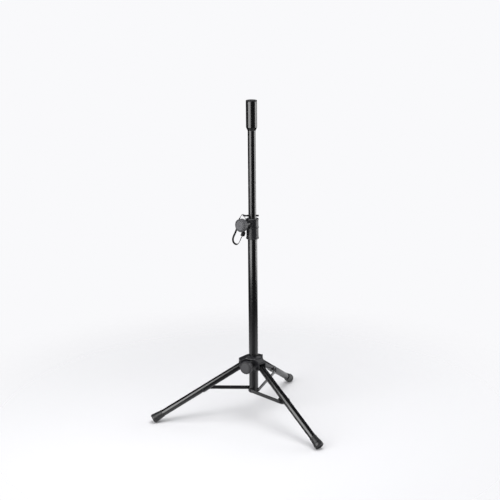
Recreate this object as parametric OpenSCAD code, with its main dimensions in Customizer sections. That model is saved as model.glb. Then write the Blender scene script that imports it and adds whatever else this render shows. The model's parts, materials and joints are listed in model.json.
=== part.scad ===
// Speaker stand: a telescoping steel pole on a folding tripod
// Millimetres, +Z up, origin on the floor under the pole's axis, +X to the right, +Y to the back

/* [Pole] */
// Height of the lower tube's bottom end above the floor
tube_bottom_z = 90; // [86:0.5:92]
// Length of the lower tube
tube_len = 565; // [480:5:640]
// Outer diameter of the lower tube
tube_od = 30; // [29:0.5:31]
// Wall of the lower tube
tube_wall = 1.5; // [1.2:0.1:1.6]
// Length of the mast tube
mast_len = 620; // [560:5:660]
// How far the mast's top stands above the lower tube's top
mast_reach = 406; // [380:1:420]
// Outer diameter of the mast tube
mast_od = 25; // [24:0.5:25.5]
// Wall of the mast tube
mast_wall = 1.5; // [1.2:0.1:2]

/* [Pole adapter] */
// Outer diameter of the sleeve that enters the speaker's socket
adapter_od = 35; // [34:0.5:38]
// Length of the sleeve, with its taper
adapter_len = 92; // [80:1:110]
// Length of the taper at the sleeve's lower end
adapter_taper = 10; // [6:1:14]
// Rim left round the mast at the end of the taper
adapter_rim = 0.8; // [0.6:0.1:1.5]
// Thickness of the cap's disc over the sleeve
cap_t = 3; // [2:0.5:5]

/* [Collar] */
// Height of the collar
collar_h = 66; // [60:1:72]
// Length of the collar below the lower tube's top
collar_grip = 37.5; // [34:0.5:40]
// Thickness of the collar's wall round the lower tube
collar_wall = 4.4; // [4:0.1:6]
// Height of the collar's end flange and middle rib
collar_rib_h = 5; // [3:0.5:6]
// How far the flange and the rib stand out
collar_rib_out = 1; // [0.6:0.1:1.5]
// Direction in which the collar's knob points, counter-clockwise from +X
collar_knob_az = 225; // [215:1:235]
// Height of the collar's knob above the lower tube's top
collar_knob_up = 15; // [14:0.5:15.5]

/* [Safety pin] */
// Diameter of the safety pin
pin_d = 6; // [4:0.5:6.5]
// Gap from the collar's top to the pin
pin_gap = 6.5; // [6:0.5:10]
// Reach of the pin's plain end from the pole's axis
pin_reach = 21; // [18:0.5:24]
// Distance from the pole's axis to the centre of the pin's eye
eye_at = 24.5; // [24:0.5:26]
// Spacing of the pin holes along the mast
hole_pitch = 50; // [45:5:60]

/* [Tripod] */
// Turn of the tripod about the pole, from the legs at 180, 300 and 60 degrees
stance_turn = 7.4; // [0:0.2:12]
// Angle of an open leg below level
leg_angle = 30.4; // [29:0.2:31]
// Length of a leg from its pivot to the foot's end
leg_len = 345; // [335:1:360]
// Outer diameter of a leg tube
leg_od = 22; // [20:0.5:22.5]
// Wall of a leg tube
leg_wall = 1.2; // [1:0.1:1.5]
// Distance of the leg pivots from the pole's axis
pivot_r = 40; // [39:0.5:42]
// Length of a leg tube behind its pivot
leg_tail = 10; // [9:0.5:11]
// Diameter of a leg's pivot bolt
bolt_d = 6; // [5:0.5:6]

/* [Leg hub] */
// Outer radius of the hub's sleeve
hub_r = 20; // [19.5:0.1:21]
// Height of the hub's top above the leg pivots
hub_up = 31; // [29:0.2:34]
// Depth of the hub's bottom below the leg pivots
hub_down = 22; // [20:0.5:24]
// Thickness of the arms' side cheeks
cheek_t = 3.4; // [3:0.1:3.6]
// Reach of the arms from the pole's axis
arm_reach = 47.5; // [46:0.5:50]
// Height of the arms' outer roof edge above the leg pivots
arm_edge_up = 20; // [19.4:0.2:22]
// Thickness of the arms' roof
roof_t = 3; // [2.4:0.1:3.2]
// Direction in which the hub's knob points, counter-clockwise from +X
hub_knob_az = 242; // [238:1:248]
// Height of the hub's knob above the leg pivots
hub_knob_up = 5; // [2:0.5:6]

/* [Struts] */
// Height of the struts' inner pivots above the lower tube's bottom end
strut_up = 7.3; // [7:0.1:9]
// Width of a strut's flat bar
bar_w = 12; // [11:0.5:13]
// Thickness of a strut's flat bar
bar_t = 2.5; // [2:0.1:3]
// Distance along the leg from its pivot to the strut's outer pivot
strut_at = 141.4; // [136:0.2:146]
// Distance of the strut's outer pivot below the leg's axis
ear_drop = 7.8; // [7:0.1:9]
// Diameter of the strut rivets
rivet_d = 6; // [5:0.5:6.5]
// Length of the bracket that holds a strut to its leg
bracket_len = 26; // [22:1:30]
// Sheet thickness of that bracket
bracket_t = 2; // [1.6:0.1:2.2]

/* [Feet] */
// Diameter of a rubber foot at its end
foot_d = 30.4; // [29:0.2:31]
// Diameter of a rubber foot at its mouth
foot_mouth_d = 25; // [24.8:0.2:27]
// Length of a rubber foot
foot_len = 38; // [34:1:44]
// Thickness of rubber under the leg tube's end
foot_sole = 8; // [6:0.5:10]
// Radius of the rounded edge at a foot's end
foot_round = 2.5; // [2:0.1:3]
// Depth of the flat that a foot stands on
floor_flat = 0.5; // [0.3:0.1:0.8]

/* [Knobs] */
// Diameter of both clamp knobs
knob_d = 42; // [38:0.5:43]
// Thickness of a knob's grip
knob_t = 18.5; // [14:0.5:20]
// Diameter of a knob's neck
neck_d = 16; // [14:0.5:17]
// Length of a knob's neck
neck_len = 7.5; // [7:0.1:9]
// Number of shallow flutes round a knob
flutes = 18; // [10:1:24]
// Diameter of the clamp screws
screw_d = 8; // [7:0.5:8]
// Diameter of the clamp pads
pad_d = 11; // [9:0.5:11]

/* [Tether] */
// Width of the tether's flat strap
strap_w = 6; // [4:0.2:6.2]
// Thickness of the strap
strap_t = 1.4; // [1.2:0.1:1.6]

/* [Hidden] */

// Clearances: run for parts that turn or slide in each other, seat for parts fitted together,
// and free for faces that must pass each other
run = 0.08;
seat = 0.1;
free = 0.4;
past = 60;

$fn = 64;
fine = 96;

// Finishes
satin_black = "#1b1b1d";
moulded_black = "#202022";
rubber_black = "#262628";
zinc = "#8d9094";
brass = "#b08d4a";
nylon_grey = "#4a4b4e";

// Heights along the pole
tube_top_z = tube_bottom_z + tube_len;
mast_top_z = tube_top_z + mast_reach;
mast_bottom_z = mast_top_z - mast_len;
collar_top_z = tube_top_z - collar_grip + collar_h;
collar_bottom_z = tube_top_z - collar_grip;
collar_knob_z = tube_top_z + collar_knob_up;
pin_z = collar_top_z + pin_gap + pin_d / 2;

// Radii along the pole
tube_r = tube_od / 2;
tube_in_r = tube_r - tube_wall;
mast_r = mast_od / 2;
mast_in_r = mast_r - mast_wall;
collar_r = tube_r + collar_wall;
bush_r = tube_r - 0.5;

// The open leg: foot, pivot and the strut's outer pivot, as distance from the axis and height
foot_r = foot_d / 2;
foot_axis_z = (foot_r - foot_round) * cos(leg_angle) + foot_round * (1 - sin(leg_angle)) - floor_flat;
pivot_z = foot_axis_z + leg_len * sin(leg_angle);
leg_r = leg_od / 2;
leg_tube_end = leg_len - foot_sole;
joint_r = pivot_r + strut_at * cos(leg_angle) - ear_drop * sin(leg_angle);
joint_z = pivot_z - strut_at * sin(leg_angle) - ear_drop * cos(leg_angle);
strut_z = tube_bottom_z + strut_up;
strut_len = norm([joint_r, joint_z - strut_z]);
strut_angle = atan2(joint_z - strut_z, joint_r);
rivet_r = rivet_d / 2;
rivet_head_t = 2;

// The struts run beside the pole and the legs, in planes just outside both
strut_in = tube_r + free;
strut_out = strut_in + bar_t;
ear_face = strut_in - free;
ear_in = ear_face - bracket_t;

// Hub
hub_top_z = pivot_z + hub_up;
hub_bottom_z = pivot_z - hub_down;
hub_knob_z = pivot_z + hub_knob_up;
slot_r = leg_r + 0.6;
cheek_out = min(slot_r + cheek_t, ear_face);
roof_slope = (hub_up - arm_edge_up) / (arm_reach - hub_r);
tail_sweep = norm([leg_tail + 0.5, leg_r]) + 0.6;
bolt_r = bolt_d / 2;
bolt_head_t = 3;
nut_r = 5.6;
nut_t = 5;

// Clamps: distances along the knob's axis from the pole's axis
boss_r = 10;
boss_len = 12.5;
insert_r = 6;
insert_t = 8;
pad_r = pad_d / 2;
screw_r = screw_d / 2;
knob_r = knob_d / 2;
neck_r = neck_d / 2;
cap_r = 15.4;
cap_h = 1.6;
cap_depth = 1;

// Legs, counted counter-clockwise as seen from above
leg_az = [180, 300, 60];

module at_leg(i) {
    rotate([0, 0, leg_az[i] + stance_turn]) children();
}

// Frame of an open leg: origin at its pivot, +X along the leg, -Y on its strut's side
module along_leg(i) {
    at_leg(i) translate([pivot_r, 0, pivot_z]) rotate([0, leg_angle, 0]) children();
}

// Frame of an open strut: origin at its inner pivot, +X along the bar, Y kept
module along_strut(i) {
    at_leg(i) translate([0, 0, strut_z]) rotate([0, -strut_angle, 0]) children();
}

// Frame of a knob: origin on the pole's axis, +Z along the knob's axis
module along_knob(azimuth, z) {
    translate([0, 0, z]) rotate([0, 0, azimuth]) rotate([0, 90, 0]) children();
}

module ring(outer, inner, h) {
    difference() {
        cylinder(r = outer, h = h, $fn = fine);
        translate([0, 0, -1]) cylinder(r = inner, h = h + 2, $fn = fine);
    }
}

// Cylinder along -Y, from the plane y = -from to the plane y = -to
module side_pin(r, from, to) {
    translate([0, -from, 0]) rotate([90, 0, 0]) cylinder(r = r, h = to - from);
}

// Pole

module lower_tube() {
    color(satin_black) difference() {
        translate([0, 0, tube_bottom_z]) ring(tube_r, tube_in_r, tube_len);
        for (i = [0 : 2]) at_leg(i) translate([0, 0, strut_z])
            side_pin(rivet_r + seat, mast_r - 3, tube_r + 2);
        collar_rivet_holes(rivet_small_r + seat);
    }
}

plug_flange = 1.6;
plug_depth = 16;

module tube_plug() {
    color(moulded_black) difference() {
        translate([0, 0, tube_bottom_z]) union() {
            translate([0, 0, -plug_flange]) rotate_extrude($fn = fine) polygon([
                [0, 0], [tube_r - 1.2, 0], [tube_r, 1.2], [tube_r, plug_flange], [0, plug_flange]]);
            cylinder(r = tube_in_r - seat, h = plug_depth, $fn = fine);
        }
        for (i = [0 : 2]) at_leg(i) translate([0, 0, strut_z]) side_pin(rivet_r + seat, plug_core, tube_r);
    }
}

plug_core = 4;

// Shoulder rivets on which the struts turn, one for each strut
module strut_pivots() {
    color(zinc) for (i = [0 : 2]) at_leg(i) translate([0, 0, strut_z]) {
        side_pin(rivet_r, plug_core + seat, strut_out + free);
        side_pin(rivet_r + 1.8, strut_out + free, strut_out + free + rivet_head_t);
    }
}

rivet_small_r = 2.4;
collar_rivet_az = [45, 135];
collar_rivet_z = 14;

module collar_rivet_holes(r) {
    for (a = collar_rivet_az) along_knob(a, collar_bottom_z + collar_rivet_z)
        translate([0, 0, tube_in_r - 1]) cylinder(r = r, h = collar_r);
}

module collar_rivets() {
    color(zinc) for (a = collar_rivet_az) along_knob(a, collar_bottom_z + collar_rivet_z) {
        translate([0, 0, tube_in_r + 0.2]) cylinder(r = rivet_small_r, h = collar_r - tube_in_r);
        translate([0, 0, collar_r + seat]) cylinder(r1 = 4.2, r2 = 2.8, h = 1.6);
    }
}

// Profile of the collar: flange, grip, rib, head and a low brim round its top
module collar_profile() {
    brim_r = collar_r + 0.8;
    brim_h = 3.6;
    rib_r = collar_r + collar_rib_out;
    rib_z = collar_grip;
    polygon([
        [tube_r + seat, 0], [rib_r - 0.8, 0], [rib_r, 0.8], [rib_r, collar_rib_h],
        [collar_r, collar_rib_h + 1.5], [collar_r, rib_z - 2], [rib_r, rib_z - 1],
        [rib_r, rib_z + collar_rib_h - 3], [collar_r, rib_z + collar_rib_h - 2],
        [collar_r, collar_h - brim_h - 1], [brim_r, collar_h - brim_h], [brim_r, collar_h - 0.6],
        [brim_r - 0.6, collar_h],
        [bush_r + seat, collar_h], [bush_r + seat, collar_grip + seat],
        [tube_r + seat, collar_grip + seat]]);
}

module collar_body() {
    color(moulded_black) difference() {
        union() {
            translate([0, 0, collar_bottom_z]) rotate_extrude($fn = fine) collar_profile();
            difference() {
                along_knob(collar_knob_az, collar_knob_z) {
                    cylinder(r = boss_r, h = collar_r + boss_len - 2);
                    translate([0, 0, collar_r + boss_len - 2])
                        cylinder(r1 = boss_r, r2 = boss_r - 1.5, h = 2);
                }
                translate([0, 0, collar_knob_z - past / 2]) cylinder(r = collar_r - 1, h = past, $fn = fine);
            }
        }
        along_knob(collar_knob_az, collar_knob_z) {
            cylinder(r = pad_r + run, h = collar_r + boss_len - insert_t - 1);
            cylinder(r = screw_r + 0.5, h = past);
            translate([0, 0, collar_r + boss_len - insert_t]) cylinder(r = insert_r + seat, h = past);
        }
        collar_rivet_holes(rivet_small_r + seat);
    }
}

bush_lip_h = 1.2;

// Liner on which the mast slides: thin inside the lower tube, thicker in the collar's head
module collar_bush() {
    head_h = collar_h - collar_grip;
    color(nylon_grey) difference() {
        translate([0, 0, tube_top_z]) rotate_extrude($fn = fine) polygon([
            [mast_r + run, -collar_grip + 4], [tube_in_r - seat, -collar_grip + 4], [tube_in_r - seat, seat],
            [bush_r, seat], [bush_r, head_h + seat], [bush_r + 1.2, head_h + seat],
            [bush_r + 0.6, head_h + bush_lip_h],
            [mast_r + run, head_h + bush_lip_h]]);
        along_knob(collar_knob_az, collar_knob_z) cylinder(r = pad_r + run, h = past);
    }
}

module clamp_insert(from) {
    color(brass) translate([0, 0, from]) difference() {
        cylinder(r = insert_r, h = insert_t);
        translate([0, 0, -1]) cylinder(r = screw_r + run, h = insert_t + 2);
    }
}

module collar_insert() {
    along_knob(collar_knob_az, collar_knob_z) clamp_insert(collar_r + boss_len - insert_t);
}

// Mast

pin_holes = [-2 : 3];

module mast_tube() {
    color(satin_black) difference() {
        translate([0, 0, mast_bottom_z]) ring(mast_r, mast_in_r, mast_len);
        for (k = pin_holes) translate([0, 0, pin_z + k * hole_pitch]) rotate([0, 90, 0])
            cylinder(r = pin_d / 2 + run, h = 2 * past, center = true);
        guide_rivet_holes(guide_rivet_r + seat);
    }
}

module pole_adapter() {
    color(satin_black) translate([0, 0, mast_top_z - adapter_len]) rotate_extrude($fn = fine) polygon([
        [mast_r + seat, 0], [mast_r + adapter_rim, 0], [adapter_od / 2, adapter_taper],
        [adapter_od / 2, adapter_len], [mast_r + seat, adapter_len]]);
}

// Top cap: a disc over the sleeve with a spigot in the mast
module adapter_cap() {
    rim = adapter_od / 2;
    color(moulded_black) translate([0, 0, mast_top_z]) rotate_extrude($fn = fine) polygon([
        [0, -14], [mast_in_r - seat - 0.8, -14], [mast_in_r - seat, -12], [mast_in_r - seat, seat],
        [rim, seat], [rim, cap_t - 1.2], [rim - 1.2, cap_t], [0, cap_t]]);
}

guide_h = 45;
guide_rivet_r = 2;
guide_rivet_up = 30;

module guide_rivet_holes(r) {
    translate([0, 0, mast_bottom_z + guide_rivet_up]) rotate([90, 0, 0])
        cylinder(r = r, h = 2 * past, center = true);
}

// Bush on the mast's lower end, which runs in the lower tube and stops under the collar's liner
module mast_guide() {
    color(nylon_grey) difference() {
        translate([0, 0, mast_bottom_z]) rotate_extrude($fn = fine) polygon([
            [mast_in_r - 3, -2.5], [tube_in_r - run - 0.8, -2.5], [tube_in_r - run, -1.5],
            [tube_in_r - run, guide_h], [mast_r + seat, guide_h], [mast_r + seat, -seat],
            [mast_in_r - 3, -seat]]);
        guide_rivet_holes(guide_rivet_r + seat);
    }
}

module guide_rivets() {
    color(zinc) translate([0, 0, mast_bottom_z + guide_rivet_up]) for (side = [0, 180]) rotate([0, 0, side])
        side_pin(guide_rivet_r, mast_in_r - 2, tube_in_r - 2 * run);
}

// Safety pin: a plain shaft through the mast with a level eye at its left end
eye_r = 5.2;
eye_wire = 1.6;

module safety_pin() {
    color(zinc) translate([0, 0, pin_z]) {
        translate([eye_r - eye_at, 0, 0]) rotate([0, 90, 0]) {
            cylinder(r = pin_d / 2, h = pin_reach + eye_at - eye_r - 1);
            translate([0, 0, pin_reach + eye_at - eye_r - 1])
                cylinder(r1 = pin_d / 2, r2 = pin_d / 2 - 1, h = 1);
        }
        translate([-eye_at, 0, 0]) rotate_extrude($fn = 48)
            translate([eye_r, 0]) circle(r = eye_wire, $fn = 24);
    }
}

// Tether: a closed flat strap that hangs behind the collar's knob, passes round its neck and goes
// through the pin's eye.
// Each point is [x, y, height over the knob's axis, turn of the strap's width about its run].
tether_points = [
    [-42, 0, 11, 0], [-44, -1, 3, 25], [-46, -2, -6, 45], [-49, -3, -15, 45], [-52, -4, -24, 45],
    [-56, -4, -34, 45], [-61, -5, -45, 45], [-63, -5, -55, 45], [-61, -6, -63, 40], [-56, -8, -68, 35],
    [-50, -10, -69, 35], [-45, -12, -65, 35], [-41, -14, -58, 40], [-38, -16, -51, 50], [-36, -18, -45, 50],
    [-33, -20, -40, 30], [-31, -21, -35, 0], [-29, -22, -29, 0], [-26, -25, -22, 0], [-24, -26, -15, 0],
    [-22, -28, -10, 0], [-19, -30, -6, 0], [-17, -32, 0, 0], [-19, -31, 7, 15], [-20, -28, 12, 35],
    [-21, -20, 15, 50], [-22, -10, 15, 65], [-24, -2, 18, 55], [-24, 0, 22, 45], [-25, 0, 25, 45],
    [-28, 0, 27, 30], [-32, 0, 27, -10], [-37, 0, 21, -30]];
// Where the strap is parted into lengths: the loop on the collar, a lead on each side, and the
// bight in the eye
loop_end = 24;
right_end = 26;
bight_end = 31;

tether_route = [for (p = tether_points) [p[0], p[1], p[2] + collar_knob_z]];

// Corners of the strap's section, as [across the width, through the thickness]
strap_section = let (w = strap_w / 2, t = strap_t / 2, c = 0.4)
    [[w, -t + c], [w, t - c], [w - c, t], [-w + c, t], [-w, t - c], [-w, -t + c], [-w + c, -t], [w - c, -t]];

function unit(v) = v / norm(v);
function at(i) = tether_route[i % len(tether_route)];
function run_at(i) = unit(at(i + 1) - at(i + len(tether_route) - 1));

// Ring of section points at route point i; the width starts along the knob's axis and turns by
// the point's angle
function strap_ring(i) = let (
    axis = [cos(collar_knob_az), sin(collar_knob_az), 0],
    turn = tether_points[i % len(tether_route)][3],
    t = run_at(i),
    across = unit(axis - (axis * t) * t),
    w = cos(turn) * across + sin(turn) * cross(t, across),
    h = cross(t, w)) [for (c = strap_section) at(i) + c[0] * w + c[1] * h];

// Closed length of strap from one route point to another
module strap(from, to) {
    n = to - from + 1;
    m = len(strap_section);
    rings = [for (i = [from : to]) each strap_ring(i)];
    sides = [for (i = [0 : n - 2], k = [0 : m - 1]) let (a = i * m + k, b = i * m + (k + 1) % m)
        each [[a, b, b + m], [a, b + m, a + m]]];
    ends = concat([for (k = [1 : m - 2]) [0, k + 1, k]],
        [for (k = [1 : m - 2]) [(n - 1) * m, (n - 1) * m + k, (n - 1) * m + k + 1]]);
    color(rubber_black) polyhedron(points = rings, faces = concat(sides, ends), convexity = 6);
}

module tether_loop() {
    strap(0, loop_end);
}

module tether_lead_right() {
    strap(loop_end, right_end);
}

module tether_bight() {
    strap(right_end, bight_end);
}

module tether_lead_left() {
    strap(bight_end, len(tether_route));
}

head_w = 12;
head_t = 9;
head_len = 14;

// Moulded head that locks the strap's ends together
module tether_head() {
    middle = (at(16) + at(17)) / 2;
    t = run_at(16);
    color(rubber_black) translate(middle) rotate([0, acos(t[2]), atan2(t[1], t[0])])
        rotate([0, 0, 45]) linear_extrude(head_len, center = true) difference() {
            square([head_w, head_t], center = true);
            for (x = [-1, 1], y = [-1, 1]) translate([x * head_w / 2, y * head_t / 2]) rotate(45)
                square(1.6, center = true);
        }
}

// Clamps. Every distance is along the knob's axis from the pole's axis.

pad_gap = 0.3;
pad_len = 5;
neck_gap = 0.6;
screw_grip = 12;
screw_travel = 2.5;

// Pad that the screw presses against a tube, hollowed to the tube's curve
module clamp_pad(azimuth, z, tube) {
    color(nylon_grey) difference() {
        along_knob(azimuth, z) cylinder(r = pad_r, h = tube + pad_gap + pad_len);
        translate([0, 0, z - past / 2]) cylinder(r = tube + pad_gap, h = past, $fn = fine);
    }
}

module clamp_screw(tip, neck) {
    color(zinc) translate([0, 0, tip]) {
        cylinder(r1 = screw_r - 0.8, r2 = screw_r, h = 0.8);
        translate([0, 0, 0.8]) cylinder(r = screw_r, h = neck + screw_grip - tip - 0.8);
    }
}

// Knob with its neck towards the pole, shallow flutes and a recess for its cap
module clamp_knob(neck) {
    color(moulded_black) translate([0, 0, neck]) difference() {
        rotate_extrude($fn = fine) translate([0, neck_len]) polygon([
            [0, -neck_len], [neck_r - 0.6, -neck_len], [neck_r, 0.6 - neck_len], [neck_r, 0],
            [knob_r - 4, 0], [knob_r - 1.2, 1], [knob_r, 3.4], [knob_r, knob_t - 5],
            [knob_r - 1, knob_t - 2.2],
            [knob_r - 3.4, knob_t], [cap_r + 0.8, knob_t], [cap_r + seat, knob_t - 0.6],
            [cap_r + seat, knob_t - cap_depth], [0, knob_t - cap_depth]]);
        for (k = [0 : flutes - 1]) rotate([0, 0, k * 360 / flutes])
            translate([knob_r + 2.2, 0, neck_len - 1]) cylinder(r = 3, h = knob_t + 2, $fn = 32);
        translate([0, 0, -1]) cylinder(r = screw_r + seat, h = screw_grip + 1 + seat);
    }
}

module clamp_cap(neck) {
    color(satin_black) translate([0, 0, neck + neck_len + knob_t - cap_depth + seat])
        rotate_extrude($fn = fine) polygon([
            [0, 0], [cap_r, 0], [cap_r, cap_h - 0.5], [cap_r - 0.5, cap_h - 0.1], [cap_r - 3, cap_h],
            [0, cap_h]]);
}

collar_neck = collar_r + boss_len + neck_gap;
collar_tip = mast_r + pad_gap + pad_len + seat;
hub_neck = hub_r + boss_len + neck_gap;
hub_tip = tube_r + pad_gap + pad_len + seat;

module collar_pad() {
    clamp_pad(collar_knob_az, collar_knob_z, mast_r);
}

module collar_knob() {
    along_knob(collar_knob_az, collar_knob_z) clamp_knob(collar_neck);
}

module collar_knob_screw() {
    along_knob(collar_knob_az, collar_knob_z) clamp_screw(collar_tip, collar_neck);
}

module collar_knob_cap() {
    along_knob(collar_knob_az, collar_knob_z) clamp_cap(collar_neck);
}

module hub_pad() {
    clamp_pad(hub_knob_az, hub_knob_z, tube_r);
}

module hub_knob() {
    along_knob(hub_knob_az, hub_knob_z) clamp_knob(hub_neck);
}

module hub_knob_screw() {
    along_knob(hub_knob_az, hub_knob_z) clamp_screw(hub_tip, hub_neck);
}

module hub_knob_cap() {
    along_knob(hub_knob_az, hub_knob_z) clamp_cap(hub_neck);
}

// Leg hub

skirt_r = 29;

function roof_z(r) = hub_up - roof_slope * (r - hub_r);

// Sleeve and the sloping roof between the arms, turned about the pole
module hub_turning() {
    rotate_extrude($fn = fine) polygon([
        [tube_r + run, -hub_down], [hub_r - 2.6, -hub_down], [hub_r - 2, 1 - hub_down],
        [hub_r, 18 - hub_down],
        [hub_r, roof_z(hub_r) - roof_t - 2], [skirt_r, roof_z(skirt_r) - roof_t],
        [skirt_r, roof_z(skirt_r) - 0.8], [skirt_r - 0.8, roof_z(skirt_r - 0.8)], [hub_r, roof_z(hub_r)],
        [hub_r - 1.4, hub_up + 1], [tube_r + 1.6, hub_up + 1], [tube_r + run, hub_up]]);
}

// Side view of an arm, as distance from the pole's axis and height over the pivot
module arm_side() {
    polygon([
        [hub_r - 2, roof_z(hub_r)], [hub_r, roof_z(hub_r)], [arm_reach - 1.2, roof_z(arm_reach - 1.2)],
        [arm_reach, roof_z(arm_reach) - 1.2], [arm_reach, arm_edge_up - 11], [pivot_r + 8.6, 1.4],
        [pivot_r, -4], [hub_r - 2, -13]]);
    translate([pivot_r, 0]) circle(r = 8.7);
    translate([hub_r + 4, -4]) circle(r = 8);
}

// Height over the pivot that clears a leg's upper end as it swings, at a distance from the pole's axis
function clear_z(r) = sqrt(tail_sweep * tail_sweep - (r - pivot_r) * (r - pivot_r));

// Slot in an arm, with the roof's outer edge turned down over the leg
module arm_slot_side() {
    inner = hub_r + 0.8;
    lip = arm_reach - 5.5;
    polygon([
        [inner, -past], [inner, roof_z(inner) - roof_t - 2], [inner + 2, roof_z(inner + 2) - roof_t],
        [lip, roof_z(lip) - roof_t], [lip + 3, clear_z(lip + 3)], [arm_reach, clear_z(arm_reach)],
        [past, clear_z(arm_reach)], [past, -past]]);
}

module leg_hub() {
    color(moulded_black) difference() {
        translate([0, 0, pivot_z]) union() {
            hub_turning();
            for (i = [0 : 2]) at_leg(i) difference() {
                rotate([90, 0, 0]) linear_extrude(2 * cheek_out, center = true) arm_side();
                rotate([90, 0, 0]) linear_extrude(2 * slot_r, center = true) arm_slot_side();
                cylinder(r = hub_r - 1, h = 2 * past, center = true);
            }
            translate([0, 0, hub_knob_up]) rotate([0, 0, hub_knob_az]) rotate([0, 90, 0]) difference() {
                cylinder(r = boss_r, h = hub_r + boss_len);
                translate([0, 0, -1]) cylinder(r = 2 * boss_r, h = tube_r + 2);
            }
        }
        along_knob(hub_knob_az, hub_knob_z) {
            cylinder(r = pad_r + run, h = hub_r + boss_len - insert_t - 1);
            cylinder(r = screw_r + 0.5, h = past);
            translate([0, 0, hub_r + boss_len - insert_t]) cylinder(r = insert_r + seat, h = past);
        }
        for (i = [0 : 2]) at_leg(i) translate([pivot_r, 0, pivot_z]) rotate([90, 0, 0])
            cylinder(r = bolt_r + seat, h = past, center = true);
    }
}

module hub_insert() {
    along_knob(hub_knob_az, hub_knob_z) clamp_insert(hub_r + boss_len - insert_t);
}

module pivot_bolts() {
    color(zinc) for (i = [0 : 2]) at_leg(i) translate([pivot_r, 0, pivot_z]) {
        rotate([90, 0, 0]) translate([0, 0, -cheek_out - seat])
            cylinder(r = bolt_r, h = 2 * cheek_out + nut_t + 1.4);
        translate([0, cheek_out + seat, 0]) rotate([-90, 0, 0]) rotate_extrude() polygon([
            [0, 0], [5.2, 0], [5.2, 1.2], [3.8, bolt_head_t], [0, bolt_head_t]]);
    }
}

module pivot_nuts() {
    color(zinc) for (i = [0 : 2]) at_leg(i) translate([pivot_r, -cheek_out - seat, pivot_z])
        rotate([90, 0, 0]) difference() {
            cylinder(r = nut_r, h = nut_t, $fn = 6);
            translate([0, 0, -1]) cylinder(r = bolt_r + seat, h = nut_t + 2);
        }
}

// Legs

leg_rivet_r = 2.4;
leg_rivet_fwd = 7;

// Cylinder along the leg's own axis between two distances from the pivot
module leg_rod(r, from, to) {
    translate([from, 0, 0]) rotate([0, 90, 0]) cylinder(r = r, h = to - from);
}

module leg_tube(i) {
    color(satin_black) along_leg(i) difference() {
        leg_rod(leg_r, -leg_tail, leg_tube_end);
        leg_rod(leg_r - leg_wall, -leg_tail - 1, leg_tube_end + 1);
        rotate([90, 0, 0]) cylinder(r = bolt_r + run, h = past, center = true);
        translate([strut_at + leg_rivet_fwd, 0, 0]) rotate([90, 0, 0])
            cylinder(r = leg_rivet_r + seat, h = past, center = true);
    }
}

plug_reach = 18;

// Domed plug in the leg's upper end, drilled for the pivot bolt
module leg_plug(i) {
    core = leg_r - leg_wall - seat;
    color(moulded_black) along_leg(i) difference() {
        translate([-leg_tail, 0, 0]) rotate([0, 90, 0]) rotate_extrude() polygon([
            [0, -3], [leg_r - 5, -3], [leg_r - 1.6, -1.8], [leg_r - 0.2, -seat - 0.4], [leg_r - 0.2, -seat],
            [core, -seat], [core, plug_reach], [0, plug_reach]]);
        rotate([90, 0, 0]) cylinder(r = bolt_r + run, h = past, center = true);
    }
}

// Saddle under the leg with an ear for the strut, as a section across the leg and a side view of the ear
module leg_bracket(i) {
    inner = leg_r + seat;
    outer = inner + bracket_t;
    color(satin_black) along_leg(i) translate([strut_at, 0, 0]) difference() {
        union() {
            rotate([90, 0, 90]) linear_extrude(bracket_len, center = true) difference() {
                circle(r = outer);
                translate([-outer - 1, 3]) square([2 * outer + 2, outer]);
            }
            rotate([90, 0, 0]) translate([0, 0, inner + 0.3]) linear_extrude(ear_face - inner - 0.3) {
                translate([-bracket_len / 2, 1 - ear_drop]) square([bracket_len, ear_drop + 2]);
                translate([0, -ear_drop]) circle(r = 8);
                polygon([[-bracket_len / 2, 1 - ear_drop], [-7.2, -ear_drop - 3.4], [7.2, -ear_drop - 3.4],
                    [bracket_len / 2, 1 - ear_drop]]);
            }
        }
        rotate([0, 90, 0]) cylinder(r = inner, h = past, center = true);
        translate([leg_rivet_fwd, 0, 0]) rotate([90, 0, 0])
            cylinder(r = leg_rivet_r + seat, h = past, center = true);
        translate([0, 0, -ear_drop]) side_pin(rivet_r + seat, leg_r - 4, past);
    }
}

// The bracket's rivet through the leg, and the leg's half of the strut's rivet
module leg_rivets(i) {
    head = leg_r + seat + bracket_t + seat;
    color(zinc) along_leg(i) translate([strut_at, 0, 0]) {
        translate([leg_rivet_fwd, 0, 0]) {
            side_pin(leg_rivet_r, -head, ear_face - seat);
            translate([0, head, 0]) rotate([-90, 0, 0]) cylinder(r1 = 4.2, r2 = 2.8, h = 1.6);
        }
        translate([0, 0, -ear_drop]) side_pin(rivet_r, leg_r + 0.3, ear_face);
    }
}

// Rubber foot: a lip at the mouth, a flare, a groove and a rounded end with a flat worn on it
module leg_foot(i) {
    mouth_r = foot_mouth_d / 2;
    x0 = leg_len - foot_len;
    color(rubber_black) difference() {
        along_leg(i) rotate([0, 90, 0]) rotate_extrude($fn = fine) {
            polygon([
                [leg_r + seat, x0], [mouth_r - 0.5, x0], [mouth_r, x0 + 0.5], [mouth_r, x0 + 3],
                [mouth_r - 0.7, x0 + 3.8], [mouth_r - 0.3, x0 + 8],
                [foot_r - 0.6, leg_len - 14], [foot_r - 0.5, leg_len - 12.4],
                [foot_r - 1.8, leg_len - 11.9], [foot_r - 1.8, leg_len - 10.6], [foot_r, leg_len - 10],
                [foot_r, leg_len - foot_round], [foot_r - foot_round, leg_len], [0, leg_len],
                [0, leg_tube_end + seat], [leg_r + seat, leg_tube_end + seat]]);
            translate([foot_r - foot_round, leg_len - foot_round]) circle(r = foot_round, $fn = 32);
        }
        translate([-leg_len * 2, -leg_len * 2, -past]) cube([leg_len * 4, leg_len * 4, past]);
    }
}

// Struts

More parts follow.
